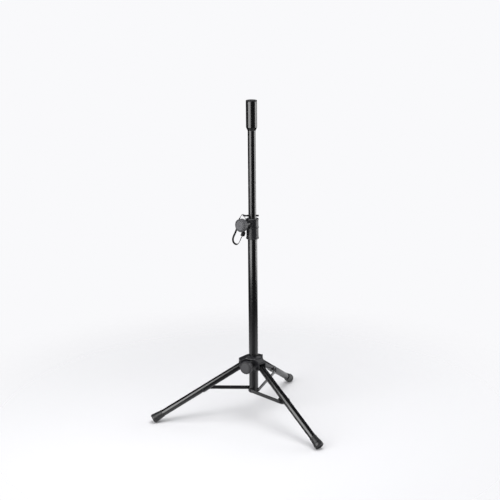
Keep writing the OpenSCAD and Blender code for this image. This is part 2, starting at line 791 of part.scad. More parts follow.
module strut_bar(i) {
    half = bar_w / 2;
    color(satin_black) along_strut(i) difference() {
        rotate([90, 0, 0]) translate([0, 0, strut_in]) linear_extrude(bar_t) {
            translate([0, -half]) square([strut_len, bar_w]);
            circle(r = half);
            translate([strut_len, 0]) circle(r = half);
        }
        side_pin(rivet_r + run, 0, past);
        translate([strut_len, 0, 0]) side_pin(rivet_r + seat, 0, past);
    }
}

// The strut's half of the outer rivet: its shank in the bar and its head outside
module strut_rivet(i) {
    color(zinc) along_strut(i) translate([strut_len, 0, 0]) {
        side_pin(rivet_r, strut_in, strut_out + seat);
        side_pin(rivet_r + 1.8, strut_out + seat, strut_out + rivet_head_t);
    }
}

lower_tube();
tube_plug();
strut_pivots();
collar_body();
collar_bush();
collar_insert();
collar_rivets();
mast_tube();
pole_adapter();
adapter_cap();
mast_guide();
guide_rivets();
safety_pin();
tether_loop();
tether_head();
tether_lead_left();
tether_lead_right();
tether_bight();
collar_pad();
collar_knob();
collar_knob_screw();
collar_knob_cap();
leg_hub();
hub_insert();
pivot_bolts();
pivot_nuts();
hub_pad();
hub_knob();
hub_knob_screw();
hub_knob_cap();
leg_tube(0);  // leg_left_tube
leg_plug(0);  // leg_left_plug
leg_bracket(0);  // leg_left_bracket
leg_rivets(0);  // leg_left_rivets
leg_foot(0);  // leg_left_foot
leg_tube(1);  // leg_front_tube
leg_plug(1);  // leg_front_plug
leg_bracket(1);  // leg_front_bracket
leg_rivets(1);  // leg_front_rivets
leg_foot(1);  // leg_front_foot
leg_tube(2);  // leg_back_tube
leg_plug(2);  // leg_back_plug
leg_bracket(2);  // leg_back_bracket
leg_rivets(2);  // leg_back_rivets
leg_foot(2);  // leg_back_foot
strut_bar(0);  // strut_left_bar
strut_rivet(0);  // strut_left_rivet
strut_bar(1);  // strut_front_bar
strut_rivet(1);  // strut_front_rivet
strut_bar(2);  // strut_back_bar
strut_rivet(2);  // strut_back_rivet
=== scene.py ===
"""A black speaker stand: a telescoping steel pole on a folding tripod.

Shapes are worked out in millimetres, +Z up, from the floor under the pole's axis, and make_mesh turns them to the
frame's metres. Tubes, knobs, feet and rivets are profiles turned about an axis, bars are rounded plates, the
tether is a section carried along a path, and the two mouldings are blended solids from which a surface is drawn.
"""

from __future__ import annotations

import json
import logging
import math
from dataclasses import dataclass, field
from enum import Enum
from typing import Callable, Sequence

import bpy
import numpy as np
from mathutils import Matrix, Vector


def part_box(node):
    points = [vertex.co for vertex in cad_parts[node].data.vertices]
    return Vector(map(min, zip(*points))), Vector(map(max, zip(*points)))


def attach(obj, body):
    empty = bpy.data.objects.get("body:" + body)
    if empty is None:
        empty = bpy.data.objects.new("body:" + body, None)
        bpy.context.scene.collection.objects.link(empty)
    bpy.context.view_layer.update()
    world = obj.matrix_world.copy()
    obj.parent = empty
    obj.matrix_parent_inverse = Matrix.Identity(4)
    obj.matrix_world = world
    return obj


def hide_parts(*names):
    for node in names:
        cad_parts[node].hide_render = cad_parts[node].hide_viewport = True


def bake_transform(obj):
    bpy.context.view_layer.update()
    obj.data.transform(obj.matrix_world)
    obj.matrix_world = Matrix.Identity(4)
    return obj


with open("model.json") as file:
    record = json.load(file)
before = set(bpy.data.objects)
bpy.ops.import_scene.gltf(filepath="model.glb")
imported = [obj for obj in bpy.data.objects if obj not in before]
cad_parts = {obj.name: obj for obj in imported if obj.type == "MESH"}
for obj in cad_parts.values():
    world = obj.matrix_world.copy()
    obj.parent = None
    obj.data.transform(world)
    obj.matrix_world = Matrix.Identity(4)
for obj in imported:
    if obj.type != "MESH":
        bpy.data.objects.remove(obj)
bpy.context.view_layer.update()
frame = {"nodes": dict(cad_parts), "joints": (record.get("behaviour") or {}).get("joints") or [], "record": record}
# Metres in a millimetre
MM = 0.001
# Play between pieces that lie on each other, in millimetres
SEAT = 0.1
# Size of a cell of the grid on which the mouldings are drawn, in millimetres
CELL = 0.8

log = logging.getLogger("speaker_stand")

Array = np.ndarray
Field = Callable[[Array, Array, Array], Array]


# Shapes: places, outlines and surfaces

@dataclass(frozen=True)
class Place:
    """A local frame: its origin, and its X, Y and Z axes as rows."""

    origin: Array
    axes: Array

    def put(self, points: Array) -> Array:
        """Local points (x, y, z), one row each, as origin + x X + y Y + z Z."""
        return self.origin + points @ self.axes

    def at(self, x: float, y: float, z: float) -> Place:
        """The same axes with the origin moved to a local point."""
        return Place(self.put(np.array([x, y, z], float)), self.axes)

    def along_x(self) -> Place:
        """A frame whose Z is this one's X."""
        return Place(self.origin, self.axes[[1, 2, 0]])

    def along_y(self) -> Place:
        """A frame whose Z is this one's Y."""
        return Place(self.origin, self.axes[[2, 0, 1]])

    def along_minus_y(self) -> Place:
        """A frame whose Z is this one's -Y."""
        x, y, z = self.axes
        return Place(self.origin, np.array([x, z, -y]))


def upright(x: float = 0.0, y: float = 0.0, z: float = 0.0) -> Place:
    """A place with the frame's own axes."""
    return Place(np.array([x, y, z], float), np.eye(3))


def facing_out(level: float, out: Array) -> Place:
    """A place on the pole's axis, with Z along a level direction out and X down."""
    down = np.array([0, 0, -1.0])
    return Place(np.array([0, 0, level]), np.array([down, np.cross(out, down), out]))


def rounded(corners: Sequence[tuple[float, float, float]], steps: int = 5, closed: bool = False) -> Array:
    """An outline in which each corner is an arc.

    The arc at a corner touches both sides at fillet / tan(half the corner's angle) from it, and is drawn as
    centre + fillet (cos, sin) between the two touching points.

    Args:
        corners: (a, b, fillet) for each corner, in order.
        steps: Points on each arc.
        closed: Whether the last corner joins the first.

    Returns:
        Points (a, b).
    """
    nearly_straight = math.radians(88)
    most_of_side = 0.49
    points = np.array([c[:2] for c in corners], float)
    out = []
    for i, (_, _, fillet) in enumerate(corners):
        here = points[i]
        if fillet <= 0 or (not closed and i in (0, len(points) - 1)):
            out.append(here[None])
            continue
        back, on = points[i - 1] - here, points[(i + 1) % len(points)] - here
        back_length, on_length = np.linalg.norm(back), np.linalg.norm(on)
        back, on = back / back_length, on / on_length
        half = math.acos(float(np.clip(back @ on, -1, 1))) / 2
        if half > nearly_straight:
            out.append(here[None])
            continue
        reach = min(fillet / math.tan(half), most_of_side * back_length, most_of_side * on_length)
        middle = (back + on) / np.linalg.norm(back + on)
        centre = here + middle * reach / math.cos(half)
        first, last = here + back * reach - centre, here + on * reach - centre
        sweep = math.atan2(first[0] * last[1] - first[1] * last[0], float(first @ last))
        turn = np.linspace(0, sweep, steps)[:, None]
        out.append(centre + np.cos(turn) * first + np.sin(turn) * np.array([-first[1], first[0]]))
    return np.concatenate(out)


def quads(rows: int, columns: int, wrap_rows: bool, wrap_columns: bool) -> Array:
    """Faces of a grid of points, each a quad of neighbours (i, j), (i, j+1), (i+1, j+1), (i+1, j).

    Args:
        rows: Rows of points.
        columns: Points in a row.
        wrap_rows: Whether the last row joins the first.
        wrap_columns: Whether the last column joins the first.

    Returns:
        Four point numbers a face.
    """
    i = np.arange(rows if wrap_rows else rows - 1)[:, None]
    j = np.arange(columns if wrap_columns else columns - 1)[None, :]
    below, beside = (i + 1) % rows, (j + 1) % columns
    faces = np.stack([i * columns + j, i * columns + beside, below * columns + beside, below * columns + j], -1)
    return faces.reshape(-1, 4)


@dataclass
class Surface:
    """A mesh in the making: points, and faces as lists of equal-length arrays of point numbers."""

    points: Array
    faces: list[Array]


def joined(parts: Sequence[Surface]) -> Surface:
    """Surfaces as one, each keeping its own points.

    Args:
        parts: The surfaces.

    Returns:
        One surface.
    """
    faces, base = [], 0
    for part in parts:
        faces.extend(f + base for f in part.faces)
        base += len(part.points)
    return Surface(np.concatenate([part.points for part in parts]), faces)


def lofted(rings: Array, place: Place) -> Surface:
    """Equal rings of points joined into a wall, with a face over the first ring and one over the last.

    Args:
        rings: Local points (x, y, z) by ring. The rings run counter-clockwise seen from the last one.
        place: Where they lie.

    Returns:
        The closed surface.
    """
    count, size = rings.shape[:2]
    ends = [np.arange(size)[None, ::-1], ((count - 1) * size + np.arange(size))[None]]
    return Surface(place.put(rings.reshape(-1, 3)), [quads(count, size, False, True), *ends])


def turned(profile: Array, place: Place, segments: int = 96, closed: bool = False,
           shape: Callable[[Array, Array, Array], Array] | None = None) -> Surface:
    """A profile (r, z) turned about the place's Z: point (i, j) is (r cos a, r sin a, z), with a = 2 pi j / segments.

    Rows on the axis are closed by one face each, so an open profile that starts and ends on the axis is a solid.

    Args:
        profile: Points (r, z), counter-clockwise in the (r, z) plane, so that faces point outwards.
        place: Where the axis lies.
        segments: Points round the axis.
        closed: Whether the profile is a loop, as for a tube.
        shape: Changes the radii: a function of (r, z, a) that returns the new r.

    Returns:
        The turned surface.
    """
    on_axis = profile[:, 0] < 1e-9
    rings = profile[~on_axis]
    angle = np.arange(segments) * 2 * np.pi / segments
    r, z, a = rings[:, :1] + 0 * angle, rings[:, 1:] + 0 * angle, angle[None] + 0 * rings[:, :1]
    if shape is not None:
        r = shape(r, z, a)
    local = np.stack([r * np.cos(a), r * np.sin(a), z], -1).reshape(-1, 3)
    faces = [quads(len(rings), segments, closed, True)]
    if not closed:
        first, last = np.arange(segments), (len(rings) - 1) * segments + np.arange(segments)
        if on_axis[0]:
            faces.append(first[None, ::-1])
        if on_axis[-1]:
            faces.append(last[None])
    return Surface(place.put(local), faces)


def plate(outline: Array, low: float, high: float, edge: float, place: Place) -> Surface:
    """A flat plate with rounded edges: the outline in local X and Z, thick along -Y from low to high.

    A row lies edge (1 - sin t) inside the outline at the depth low + edge (1 - cos t), with t from 0 to 90
    degrees, and the same again at the other face.

    Args:
        outline: Points (x, z), counter-clockwise.
        low: Distance of the near face along -Y.
        high: Distance of the far face along -Y.
        edge: Radius of the rounded edges.
        place: Where the plate lies.

    Returns:
        The plate's surface.
    """
    tangent = np.roll(outline, -1, axis=0) - np.roll(outline, 1, axis=0)
    tangent /= np.linalg.norm(tangent, axis=1)[:, None]
    inward = np.stack([-tangent[:, 1], tangent[:, 0]], -1)
    t = np.linspace(0, np.pi / 2, 4)
    inset = edge * (1 - np.sin(t))
    inset = np.concatenate([inset, inset[::-1]])
    depth = np.concatenate([low + edge * (1 - np.cos(t)), high - edge * (1 - np.cos(t[::-1]))])
    flat = outline[None] + inset[:, None, None] * inward[None]
    return lofted(np.stack([flat[..., 0], -depth[:, None] + 0 * flat[..., 0], flat[..., 1]], -1), place)


def stadium(start: float, end: float, half_width: float) -> Array:
    """The outline of a bar with round ends: half circles of half_width about (start, 0) and (end, 0).

    Args:
        start: Where the first half circle's centre is.
        end: Where the second one's is.
        half_width: Their radius.

    Returns:
        Points (x, z), counter-clockwise.
    """
    t = np.linspace(-np.pi / 2, np.pi / 2, 24)
    right = np.stack([end + half_width * np.cos(t), half_width * np.sin(t)], -1)
    left = np.stack([start - half_width * np.cos(t), -half_width * np.sin(t)], -1)
    return np.concatenate([right, left])


def smooth_loop(points: Array, per_span: int) -> Array:
    """A smooth loop through points.

    Between P1 and P2, with neighbours P0 and P3, it is the cubic in t with value P1 and slope (P2 - P0) / 2 at
    t = 0, and value P2 and slope (P3 - P1) / 2 at t = 1.

    Args:
        points: Points that the loop passes through.
        per_span: Points made for each span.

    Returns:
        Points along the loop.
    """
    a, b, c, d = (np.roll(points, k, axis=0)[:, None] for k in (1, 0, -1, -2))
    t = (np.arange(per_span) / per_span)[None, :, None]
    line = 0.5 * (2 * b + (c - a) * t + (2 * a - 5 * b + 4 * c - d) * t**2 + (3 * b - a - 3 * c + d) * t**3)
    return line.reshape(-1, points.shape[1])


def strap_tube(path: Array, axis: Array, turns: Array, width: float, thick: float) -> Surface:
    """A flat strap along a path, its section a rectangle with round corners.

    At each point the width runs along w = cos(turn) a + sin(turn) (t x a), where t is the run's direction and a
    is the given axis with its part along t taken out.

    Args:
        path: Points of the strap's centre line.
        axis: The direction that the width has where turn is 0.
        turns: The angle of the width about the run at each point, in radians.
        width: Width of the strap.
        thick: Thickness of the strap.

    Returns:
        The strap's surface.
    """
    run = np.gradient(path, axis=0)
    run /= np.linalg.norm(run, axis=1)[:, None]
    across = axis[None] - (run @ axis)[:, None] * run
    across /= np.linalg.norm(across, axis=1)[:, None]
    wide = np.cos(turns)[:, None] * across + np.sin(turns)[:, None] * np.cross(run, across)
    high = np.cross(run, wide)
    half_w, half_t, corner = width / 2, thick / 2, 0.35 * thick
    section = rounded([(half_w, -half_t, corner), (half_w, half_t, corner), (-half_w, half_t, corner),
                       (-half_w, -half_t, corner)], steps=4, closed=True)
    rings = path[:, None] + section[None, :, :1] * wide[:, None] + section[None, :, 1:] * high[:, None]
    return lofted(rings, upright())


# Blended solids: distance fields, and the surface where a field is zero

def smooth_union(a: Array, b: Array, blend: float) -> Array:
    """The union of two fields with a fillet: min(a, b) - h^2 / (4 blend), where h = max(blend - |a - b|, 0)."""
    h = np.maximum(blend - np.abs(a - b), 0)
    return np.minimum(a, b) - h * h / (4 * blend)


def smooth_cut(a: Array, b: Array, blend: float) -> Array:
    """What is in a and not in b, with the new edge rounded."""
    return -smooth_union(-a, b, blend)


def smooth_common(a: Array, b: Array, blend: float) -> Array:
    """What is in both a and b, with the edge between them rounded."""
    return -smooth_union(-a, -b, blend)


def outline_distance(u: Array, v: Array, outline: Array) -> Array:
    """Distance from points (u, v) to a closed outline, negative inside.

    It is the least distance to the outline's sides, and a point is inside where a ray from it crosses the
    outline an odd number of times.

    Args:
        u: First coordinates.
        v: Second coordinates.
        outline: Corners of the outline.

    Returns:
        The signed distances.
    """
    best = np.full(np.shape(u), np.inf)
    inside = np.zeros(np.shape(u), bool)
    for (ax, ay), (bx, by) in zip(outline, np.roll(outline, -1, axis=0)):
        ex, ey = bx - ax, by - ay
        t = np.clip(((u - ax) * ex + (v - ay) * ey) / (ex * ex + ey * ey), 0, 1)
        best = np.minimum(best, (u - ax - t * ex) ** 2 + (v - ay - t * ey) ** 2)
        if by != ay:
            inside ^= ((ay > v) != (by > v)) & (u < ax + (v - ay) * ex / ey)
    return np.where(inside, -1, 1) * np.sqrt(best)


def gradient(shape: Field, p: Array, step: float = 0.01) -> Array:
    """The slope of a field at points p, from differences of 2 step along each axis."""
    shifts = np.eye(3) * step
    return np.stack([shape(*(p + s).T) - shape(*(p - s).T) for s in shifts], -1) / (2 * step)


def crossing_points(value: Array) -> tuple[Array, Array]:
    """The cells that a surface crosses, and in each the mean of its crossings with the cell's twelve edges.

    Args:
        value: The field at the grid's corners, negative inside.

    Returns:
        Each such cell's place in the grid, and its point in cells from the grid's first corner.
    """
    cells = np.array(value.shape) - 1
    total, count = np.zeros((*cells, 3)), np.zeros(cells)
    for axis in range(3):
        one, two = [a for a in range(3) if a != axis]
        for da, db in ((0, 0), (0, 1), (1, 0), (1, 1)):
            start = [0, 0, 0]
            start[one], start[two] = da, db
            stop = list(start)
            stop[axis] = 1
            a, b = (value[tuple(slice(s, s + n) for s, n in zip(corner, cells))] for corner in (start, stop))
            crosses = (a < 0) != (b < 0)
            t = np.where(crosses, a / np.where(crosses, a - b, 1), 0)
            for k in range(3):
                total[..., k] += crosses * (t if k == axis else start[k])
            count += crosses
    used = count > 0
    corner = np.argwhere(used)
    return corner, corner + total[used] / count[used][:, None]


def crossing_faces(inside: Array, corner: Array) -> Array:
    """A quad for each grid edge that the surface crosses, joining the points of the four cells round it.

    Args:
        inside: Which of the grid's corners are inside.
        corner: The cells that have a point, in order.

    Returns:
        Four point numbers a face.
    """
    cells = np.array(inside.shape) - 1
    number = np.full(cells, -1)
    number[tuple(corner.T)] = np.arange(len(corner))
    faces = []
    for axis, (one, two) in enumerate([(1, 2), (2, 0), (0, 1)]):
        line = np.moveaxis(inside, axis, 0)
        at = np.argwhere(np.moveaxis(line[:-1] != line[1:], 0, axis))
        at = at[(at[:, one] > 0) & (at[:, two] > 0) & (at[:, one] < cells[one]) & (at[:, two] < cells[two])]
        ring = []
        for da, db in ((-1, -1), (0, -1), (0, 0), (-1, 0)):
            near = at.copy()
            near[:, one] += da
            near[:, two] += db
            ring.append(number[tuple(near.T)])
        face = np.stack(ring, -1)
        faces.append(np.where(inside[tuple(at.T)][:, None], face, face[:, ::-1]))
    return np.concatenate(faces)


def drawn_surface(shape: Field, low: Array, high: Array) -> tuple[Surface, Array]:
    """The surface where a field is zero, by surface nets: points in the cells that it crosses, then moved onto it.

    A layer of the grid can lie right on a flat face. A hair is taken off the field, so that its corners count as
    inside whichever way they round.

    Args:
        shape: The field, negative inside.
        low: Lowest corner of the grid.
        high: Highest corner of the grid.

    Returns:
        The surface, and the surface's normal at each point.
    """
    hair, least_slope = 1e-6, 0.25
    axes = [np.arange(a, b + CELL, CELL) for a, b in zip(low, high)]
    value = shape(*np.meshgrid(*axes, indexing="ij")) - hair
    corner, found = crossing_points(value)
    points = low + CELL * found
    for _ in range(3):
        slope = gradient(shape, points)
        points = points - shape(*points.T)[:, None] * slope / np.maximum((slope**2).sum(1), least_slope)[:, None]
    slope = gradient(shape, points)
    normals = slope / np.maximum(np.linalg.norm(slope, axis=1), 1e-9)[:, None]
    return Surface(points, [crossing_faces(value < 0, corner)]), normals


# Finishes

class Slot(Enum):
    """The record's material slots."""

    POWDER = "powder_coat"
    NYLON = "moulded_nylon"
    CAP = "knob_cap"
    ZINC = "zinc_steel"
    BRASS = "brass"
    LINER = "liner_nylon"
    STRAP = "strap_rubber"
    FOOT = "foot_rubber"
    STEEL = "black_steel"


def linear(hex_colour: str) -> tuple[float, float, float, float]:
    """An sRGB hex colour as linear light.

    Args:
        hex_colour: Six hex digits after a hash.

    Returns:
        Red, green, blue and an alpha of 1.
    """
    parts = [int(hex_colour[i:i + 2], 16) / 255 for i in (1, 3, 5)]
    light = [c / 12.92 if c <= 0.04045 else ((c + 0.055) / 1.055) ** 2.4 for c in parts]
    return (*light, 1.0)


def add_node(tree: bpy.types.NodeTree, kind: str, settings: dict | None = None,
             inputs: dict | None = None) -> bpy.types.Node:
    """A node with its settings and inputs; an input that is a socket is linked.

    Args:
        tree: The node tree.
        kind: The node's type, without its first words.
        settings: Properties to set on the node.
        inputs: Values or sockets for its inputs, by name or number.

    Returns:
        The new node.
    """
    node = tree.nodes.new("ShaderNode" + kind)
    for key, value in (settings or {}).items():
        setattr(node, key, value)
    for key, value in (inputs or {}).items():
        if isinstance(value, bpy.types.NodeSocket):
            tree.links.new(value, node.inputs[key])
        else:
            node.inputs[key].default_value = value
    return node


@dataclass(frozen=True)
class Finish:
    """What every finish has: its name and slot, two colours that it wanders between, and two roughnesses.

    Pattern sizes are in millimetres: the patch is the size of the slow wander in colour and gloss, and the grain
    is the size of the fine bumps.
    """

    name: str
    slot: Slot
    dark: str
    light: str
    roughness: tuple[float, float]
    patch: float
    grain: float
    grain_height: float
    metallic: float = 0.0
    ior: float = 1.5
    sheen: float = 0.0

    def material(self) -> bpy.types.Material:
        """The finish as a material, made once.

        Returns:
            A material whose colour and roughness wander by a slow noise and whose surface has a fine grain.
        """
        found = bpy.data.materials.get(self.name)
        if found is not None:
            return found
        made = bpy.data.materials.new(self.name)
        made.use_nodes = True
        tree = made.node_tree
        shader = tree.nodes["Principled BSDF"]
        shader.inputs["Metallic"].default_value = self.metallic
        if not self.metallic:
            shader.inputs["IOR"].default_value = self.ior
        shader.inputs["Sheen Weight"].default_value = self.sheen
        where = add_node(tree, "TexCoord").outputs["Object"]
        slow = add_node(tree, "TexNoise", inputs={
            "Vector": where, "Scale": 1 / (self.patch * MM), "Detail": 4.0, "Roughness": 0.6})
        colour = add_node(tree, "Mix", {"data_type": "RGBA"}, {
            "Factor": slow.outputs["Fac"], 6: linear(self.dark), 7: linear(self.light)})
        tree.links.new(colour.outputs[2], shader.inputs["Base Color"])
        gloss = add_node(tree, "MapRange", inputs={
            "Value": slow.outputs["Fac"], "From Min": 0.3, "From Max": 0.7,
            "To Min": self.roughness[0], "To Max": self.roughness[1]})
        tree.links.new(gloss.outputs["Result"], shader.inputs["Roughness"])
        bump = add_node(tree, "Bump", inputs={
            "Strength": 1.0, "Distance": self.grain_height * MM,
            "Height": self.relief(tree, where, 1 / (self.grain * MM))})
        tree.links.new(bump.outputs["Normal"], shader.inputs["Normal"])
        return made

    def relief(self, tree: bpy.types.NodeTree, where: bpy.types.NodeSocket, scale: float) -> bpy.types.NodeSocket:
        """The fine grain's height: noise at the grain's scale."""
        fine = add_node(tree, "TexNoise", inputs={"Vector": where, "Scale": scale, "Detail": 3.0, "Roughness": 0.55})
        return fine.outputs["Fac"]


@dataclass(frozen=True)
class Moulded(Finish):
    """Moulded plastic or rubber, whose tool was etched: round pits over a fine noise."""

    def relief(self, tree: bpy.types.NodeTree, where: bpy.types.NodeSocket, scale: float) -> bpy.types.NodeSocket:
        """The etched grain's height: the distance to the nearest of scattered cells, and some noise."""
        pits = add_node(tree, "TexVoronoi", {"feature": "SMOOTH_F1"}, {
            "Vector": where, "Scale": scale, "Smoothness": 0.6})
        fine = add_node(tree, "TexNoise", inputs={"Vector": where, "Scale": 0.6 * scale, "Detail": 3.0})
        mixed = add_node(tree, "Math", {"operation": "MULTIPLY_ADD"}, {
            0: pits.outputs["Distance"], 1: 0.6, 2: fine.outputs["Fac"]})
        return mixed.outputs["Value"]


@dataclass(frozen=True)
class Turned(Finish):
    """Metal turned about an upright axis: its grain is squeezed across that axis."""

    def relief(self, tree: bpy.types.NodeTree, where: bpy.types.NodeSocket, scale: float) -> bpy.types.NodeSocket:
        """The lines' height: noise that is stretched twentyfold along the axis."""
        scaled = add_node(tree, "Mapping", inputs={"Vector": where, "Scale": (1.0, 1.0, 0.05)})
        fine = add_node(tree, "TexNoise", inputs={"Vector": scaled.outputs["Vector"], "Scale": scale, "Detail": 2.0})
        return fine.outputs["Fac"]


# Black polyester powder coat, baked on steel: smooth and glossy enough for a sharp stripe of light. Its orange
# peel is 1 to 2 mm across on the real one, and is drawn at 3 mm, very shallow.
POWDER_COAT = Finish("black_powder_coat", Slot.POWDER, "#060607", "#0a0a0b", (0.2, 0.26), 50, 3, 0.001, ior=1.6)
# Glass-filled nylon from an etched mould: satin, greyer than the tubes, with a fine even grain.
MOULDED_NYLON = Moulded("glass_filled_nylon", Slot.NYLON, "#141416", "#1b1b1e", (0.3, 0.38), 20, 0.6, 0.005, ior=1.55)
# The collar knob's grip: the same nylon with more filler, so dull and greyer, for a dry hold.
KNOB_NYLON = Moulded("matt_filled_nylon", Slot.NYLON, "#363638", "#3e3e41", (0.46, 0.54), 12, 0.6, 0.008, ior=1.52)
# The collar knob's cap: ABS from a polished mould, smooth and flat.
KNOB_CAP = Finish("satin_abs", Slot.CAP, "#4b4b4d", "#535356", (0.42, 0.5), 10, 1.2, 0.003, ior=1.53)
# The hub knob's grip and cap: darker copies of the collar knob's nylon and ABS, as painted shade for the dimmer light
# low down by the hub.
SHADED_KNOB_NYLON = Moulded("shaded_filled_nylon", Slot.NYLON, "#1d1d1f", "#242427", (0.42, 0.5), 12, 0.6, 0.008, ior=1.52)
SHADED_KNOB_CAP = Finish("shaded_abs", Slot.CAP, "#2c2c2e", "#333335", (0.42, 0.5), 10, 1.2, 0.003, ior=1.53)
# Moulded EPDM rubber of the feet: black, with a soft shine and a faint bloom.
FOOT_RUBBER = Moulded("epdm_rubber", Slot.FOOT, "#0c0c0d", "#161618", (0.34, 0.44), 12, 0.6, 0.03, ior=1.52, sheen=0.05)
# The tether: soft extruded thermoplastic, dull, with a fine grain.
STRAP_ELASTOMER = Finish("strap_elastomer", Slot.STRAP, "#0b0b0c", "#111112", (0.7, 0.8), 10, 0.8, 0.02, ior=1.32)
# Clear zinc plate on screws and inner rivets: bluish grey metal with a soft spangle.
ZINC_PLATE = Finish("zinc_plate", Slot.ZINC, "#8f9499", "#b4b8bc", (0.3, 0.42), 2, 0.7, 0.01, metallic=1.0)
# The top cap: soft low-density plastic, dull and black.
CAP_RUBBER = Moulded("dull_cap_plastic", Slot.NYLON, "#08080a", "#0c0c0e", (0.6, 0.7), 20, 0.6, 0.01, ior=1.45)
# The pins, bolts and rivets that show black: steel with an oiled black oxide skin.
BLACK_OXIDE = Finish("black_oxide", Slot.STEEL, "#1b1b1d", "#2b2b2e", (0.3, 0.4), 4, 0.8, 0.01, metallic=0.6)
# Turned brass inserts, seen only past the screws.
TURNED_BRASS = Turned("turned_brass", Slot.BRASS, "#a8853f", "#c49d55", (0.25, 0.35), 3, 0.4, 0.01, metallic=1.0)
# Self-lubricating acetal of the liners, pads and bush: dark grey and smooth.
LINER_ACETAL = Finish("liner_acetal", Slot.LINER, "#3a3b3d", "#454648", (0.38, 0.45), 10, 1, 0.01, ior=1.48)

# What the frame's own nodes get, by their slot
NODE_FINISHES = {finish.slot: finish for finish in (
    POWDER_COAT, MOULDED_NYLON, KNOB_CAP, ZINC_PLATE, TURNED_BRASS, LINER_ACETAL, STRAP_ELASTOMER, FOOT_RUBBER,
    BLACK_OXIDE)}


# Pieces

def make_mesh(name: str, surface: Surface) -> bpy.types.Mesh:
    """A surface as a mesh in metres.

    Args:
        name: The mesh's name.
        surface: Its points, in millimetres, and faces.

    Returns:
        The new mesh.
    """
    mesh = bpy.data.meshes.new(name)
    mesh.from_pydata(surface.points * MM, [], [face for block in surface.faces for face in block.tolist()])
    return mesh


def add_object(name: str, data: bpy.types.ID) -> bpy.types.Object:
    """An object in the scene that shows a mesh, a lamp or a camera.

    Args:
        name: The object's name.
        data: What it shows.

    Returns:
        The new object.
    """
    made = bpy.data.objects.new(name, data)
    bpy.context.scene.collection.objects.link(made)
    return made


def make_piece(name: str, surface: Surface, body: str, finish: Finish, stands_for: Sequence[str],
               sharp: float = 32.0, normals: Array | None = None) -> bpy.types.Object:
    """A finished piece: its mesh, shading, finish, body and the CAD nodes that it stands for.

    Args:
        name: The piece's name.
        surface: Its points and faces.
        body: The body that it rides on, or nothing.
        finish: Its finish.
        stands_for: CAD nodes that it replaces.
        sharp: Edges sharper than this many degrees are shaded as edges.
        normals: The surface's normal at each point, where it is known.

    Returns:
        The new object.
    """
    mesh = make_mesh(name, surface)
    mesh.validate()
    mesh.polygons.foreach_set("use_smooth", np.ones(len(mesh.polygons), bool))
    if normals is not None:
        mesh.normals_split_custom_set_from_vertices(normals)
    else:
        mesh.set_sharp_from_angle(angle=math.radians(sharp))
    mesh.materials.append(finish.material())
    mesh.update()
    piece = add_object(name, mesh)
    if body:
        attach(piece, body)
    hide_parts(*stands_for)
    log.info("%s: %d points on %s", name, len(mesh.vertices), body or "two bodies")
    return piece


def box(node: str) -> tuple[Array, Array]:
    """A CAD node's lowest and highest corner, in millimetres."""
    low, high = (np.array(corner, float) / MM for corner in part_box(node))
    return low, high


def levels(node: str) -> tuple[float, float]:
    """A CAD node's lowest and highest level, in millimetres."""
    low, high = box(node)
    return low[2], high[2]


def joint(name: str) -> tuple[Array, Array]:
    """A joint's anchor, in millimetres, and its axis."""
    found = next(j for j in frame["joints"] if j["name"] == name)
    return np.array(found["pos_m"], float) / MM, np.array(found["axis"], float)


def make_moulding(name: str, node: str, body: str, shape: Field) -> None:
    """A moulding's piece, drawn from its field over its node's box.

    Args:
        name: The piece's name.
        node: The CAD node that it replaces.
        body: The body that it rides on.
        shape: The field.
    """
    margin = 3 * CELL
    low, high = box(node)
    surface, normals = drawn_surface(shape, low - margin, high + margin)
    make_piece(name, surface, body, MOULDED_NYLON, [node], normals=normals)


@dataclass(frozen=True)
class Pin:
    """A rivet or bolt with a domed head: the radii of its shank and head, and the head's height."""

    shank: float
    head: float
    rise: float

    def along(self, place: Place, start: float, shoulder: float) -> Surface:
        """The pin along a place's Z; the dome is an arc from the head's edge to its crown.

        Args:
            place: Where it lies.
            start: Where the shank starts.
            shoulder: Where the head starts.

        Returns:
            The turned surface.
        """
        t = np.linspace(0, np.pi / 2, 8)
        dome = np.stack([self.head * np.cos(t), shoulder + self.rise * (0.35 + 0.65 * np.sin(t))], -1)
        dome[-1, 0] = 0
        foot = [[0, start], [self.shank, start], [self.shank, shoulder], [self.head, shoulder]]
        return turned(np.concatenate([np.array(foot), dome]), place, 40)


# Rivets of the collar and of the strut brackets, at the pole's foot, at the struts' ends, and the legs' bolts
RIVET = Pin(2.4, 4.2, 1.6)
POLE_PIVOT = Pin(3, 4.8, 2)
STRUT_PIVOT = Pin(3, 4.8, 1.9)
LEG_BOLT = Pin(3, 5.2, 3)


# The stand

class Side(Enum):
    """The three legs, by where they point in the photograph's view."""

    LEFT = "left"
    FRONT = "front"
    BACK = "back"


# The open legs' slope, the legs' length from pivot to sole, and the strut's pivot along and under the leg
LEG_SLOPE = math.radians(30.4)
LEG_LENGTH = 345
STRUT_AT = 141.4
EAR_DROP = 7.8


def leg_place(side: Side) -> Place:
    """The open leg's frame: its origin at the pivot, X along the leg, and -Y on the strut's side.

    Args:
        side: Which leg.

    Returns:
        The frame.
    """
    pivot, across = joint(f"leg_{side.value}_fold")
    outward, down = np.array([across[1], -across[0], 0]), np.array([0, 0, -1.0])
    along = math.cos(LEG_SLOPE) * outward + math.sin(LEG_SLOPE) * down
    return Place(pivot, np.array([along, across, np.cross(along, across)]))


def strut_place(side: Side) -> tuple[Place, float]:
    """The open strut's frame, its origin at the pole's pivot and X along the bar, and its length.

    Args:
        side: Which leg's strut.

    Returns:
        The frame, and the distance between the strut's pivots.
    """
    start, _ = joint(f"strut_{side.value}_fold")
    leg = leg_place(side)
    along = leg.at(STRUT_AT, 0, -EAR_DROP).origin - start
    length = float(np.linalg.norm(along))
    along /= length
    across = leg.axes[1]
    return Place(start, np.array([along, across, np.cross(along, across)])), length


def knob_place(name: str) -> Place:
    """A knob's frame: its origin on the pole's axis, and Z along the knob's axis."""
    anchor, out = joint(f"{name}_knob_turn")
    return facing_out(anchor[2], out / np.linalg.norm(out))


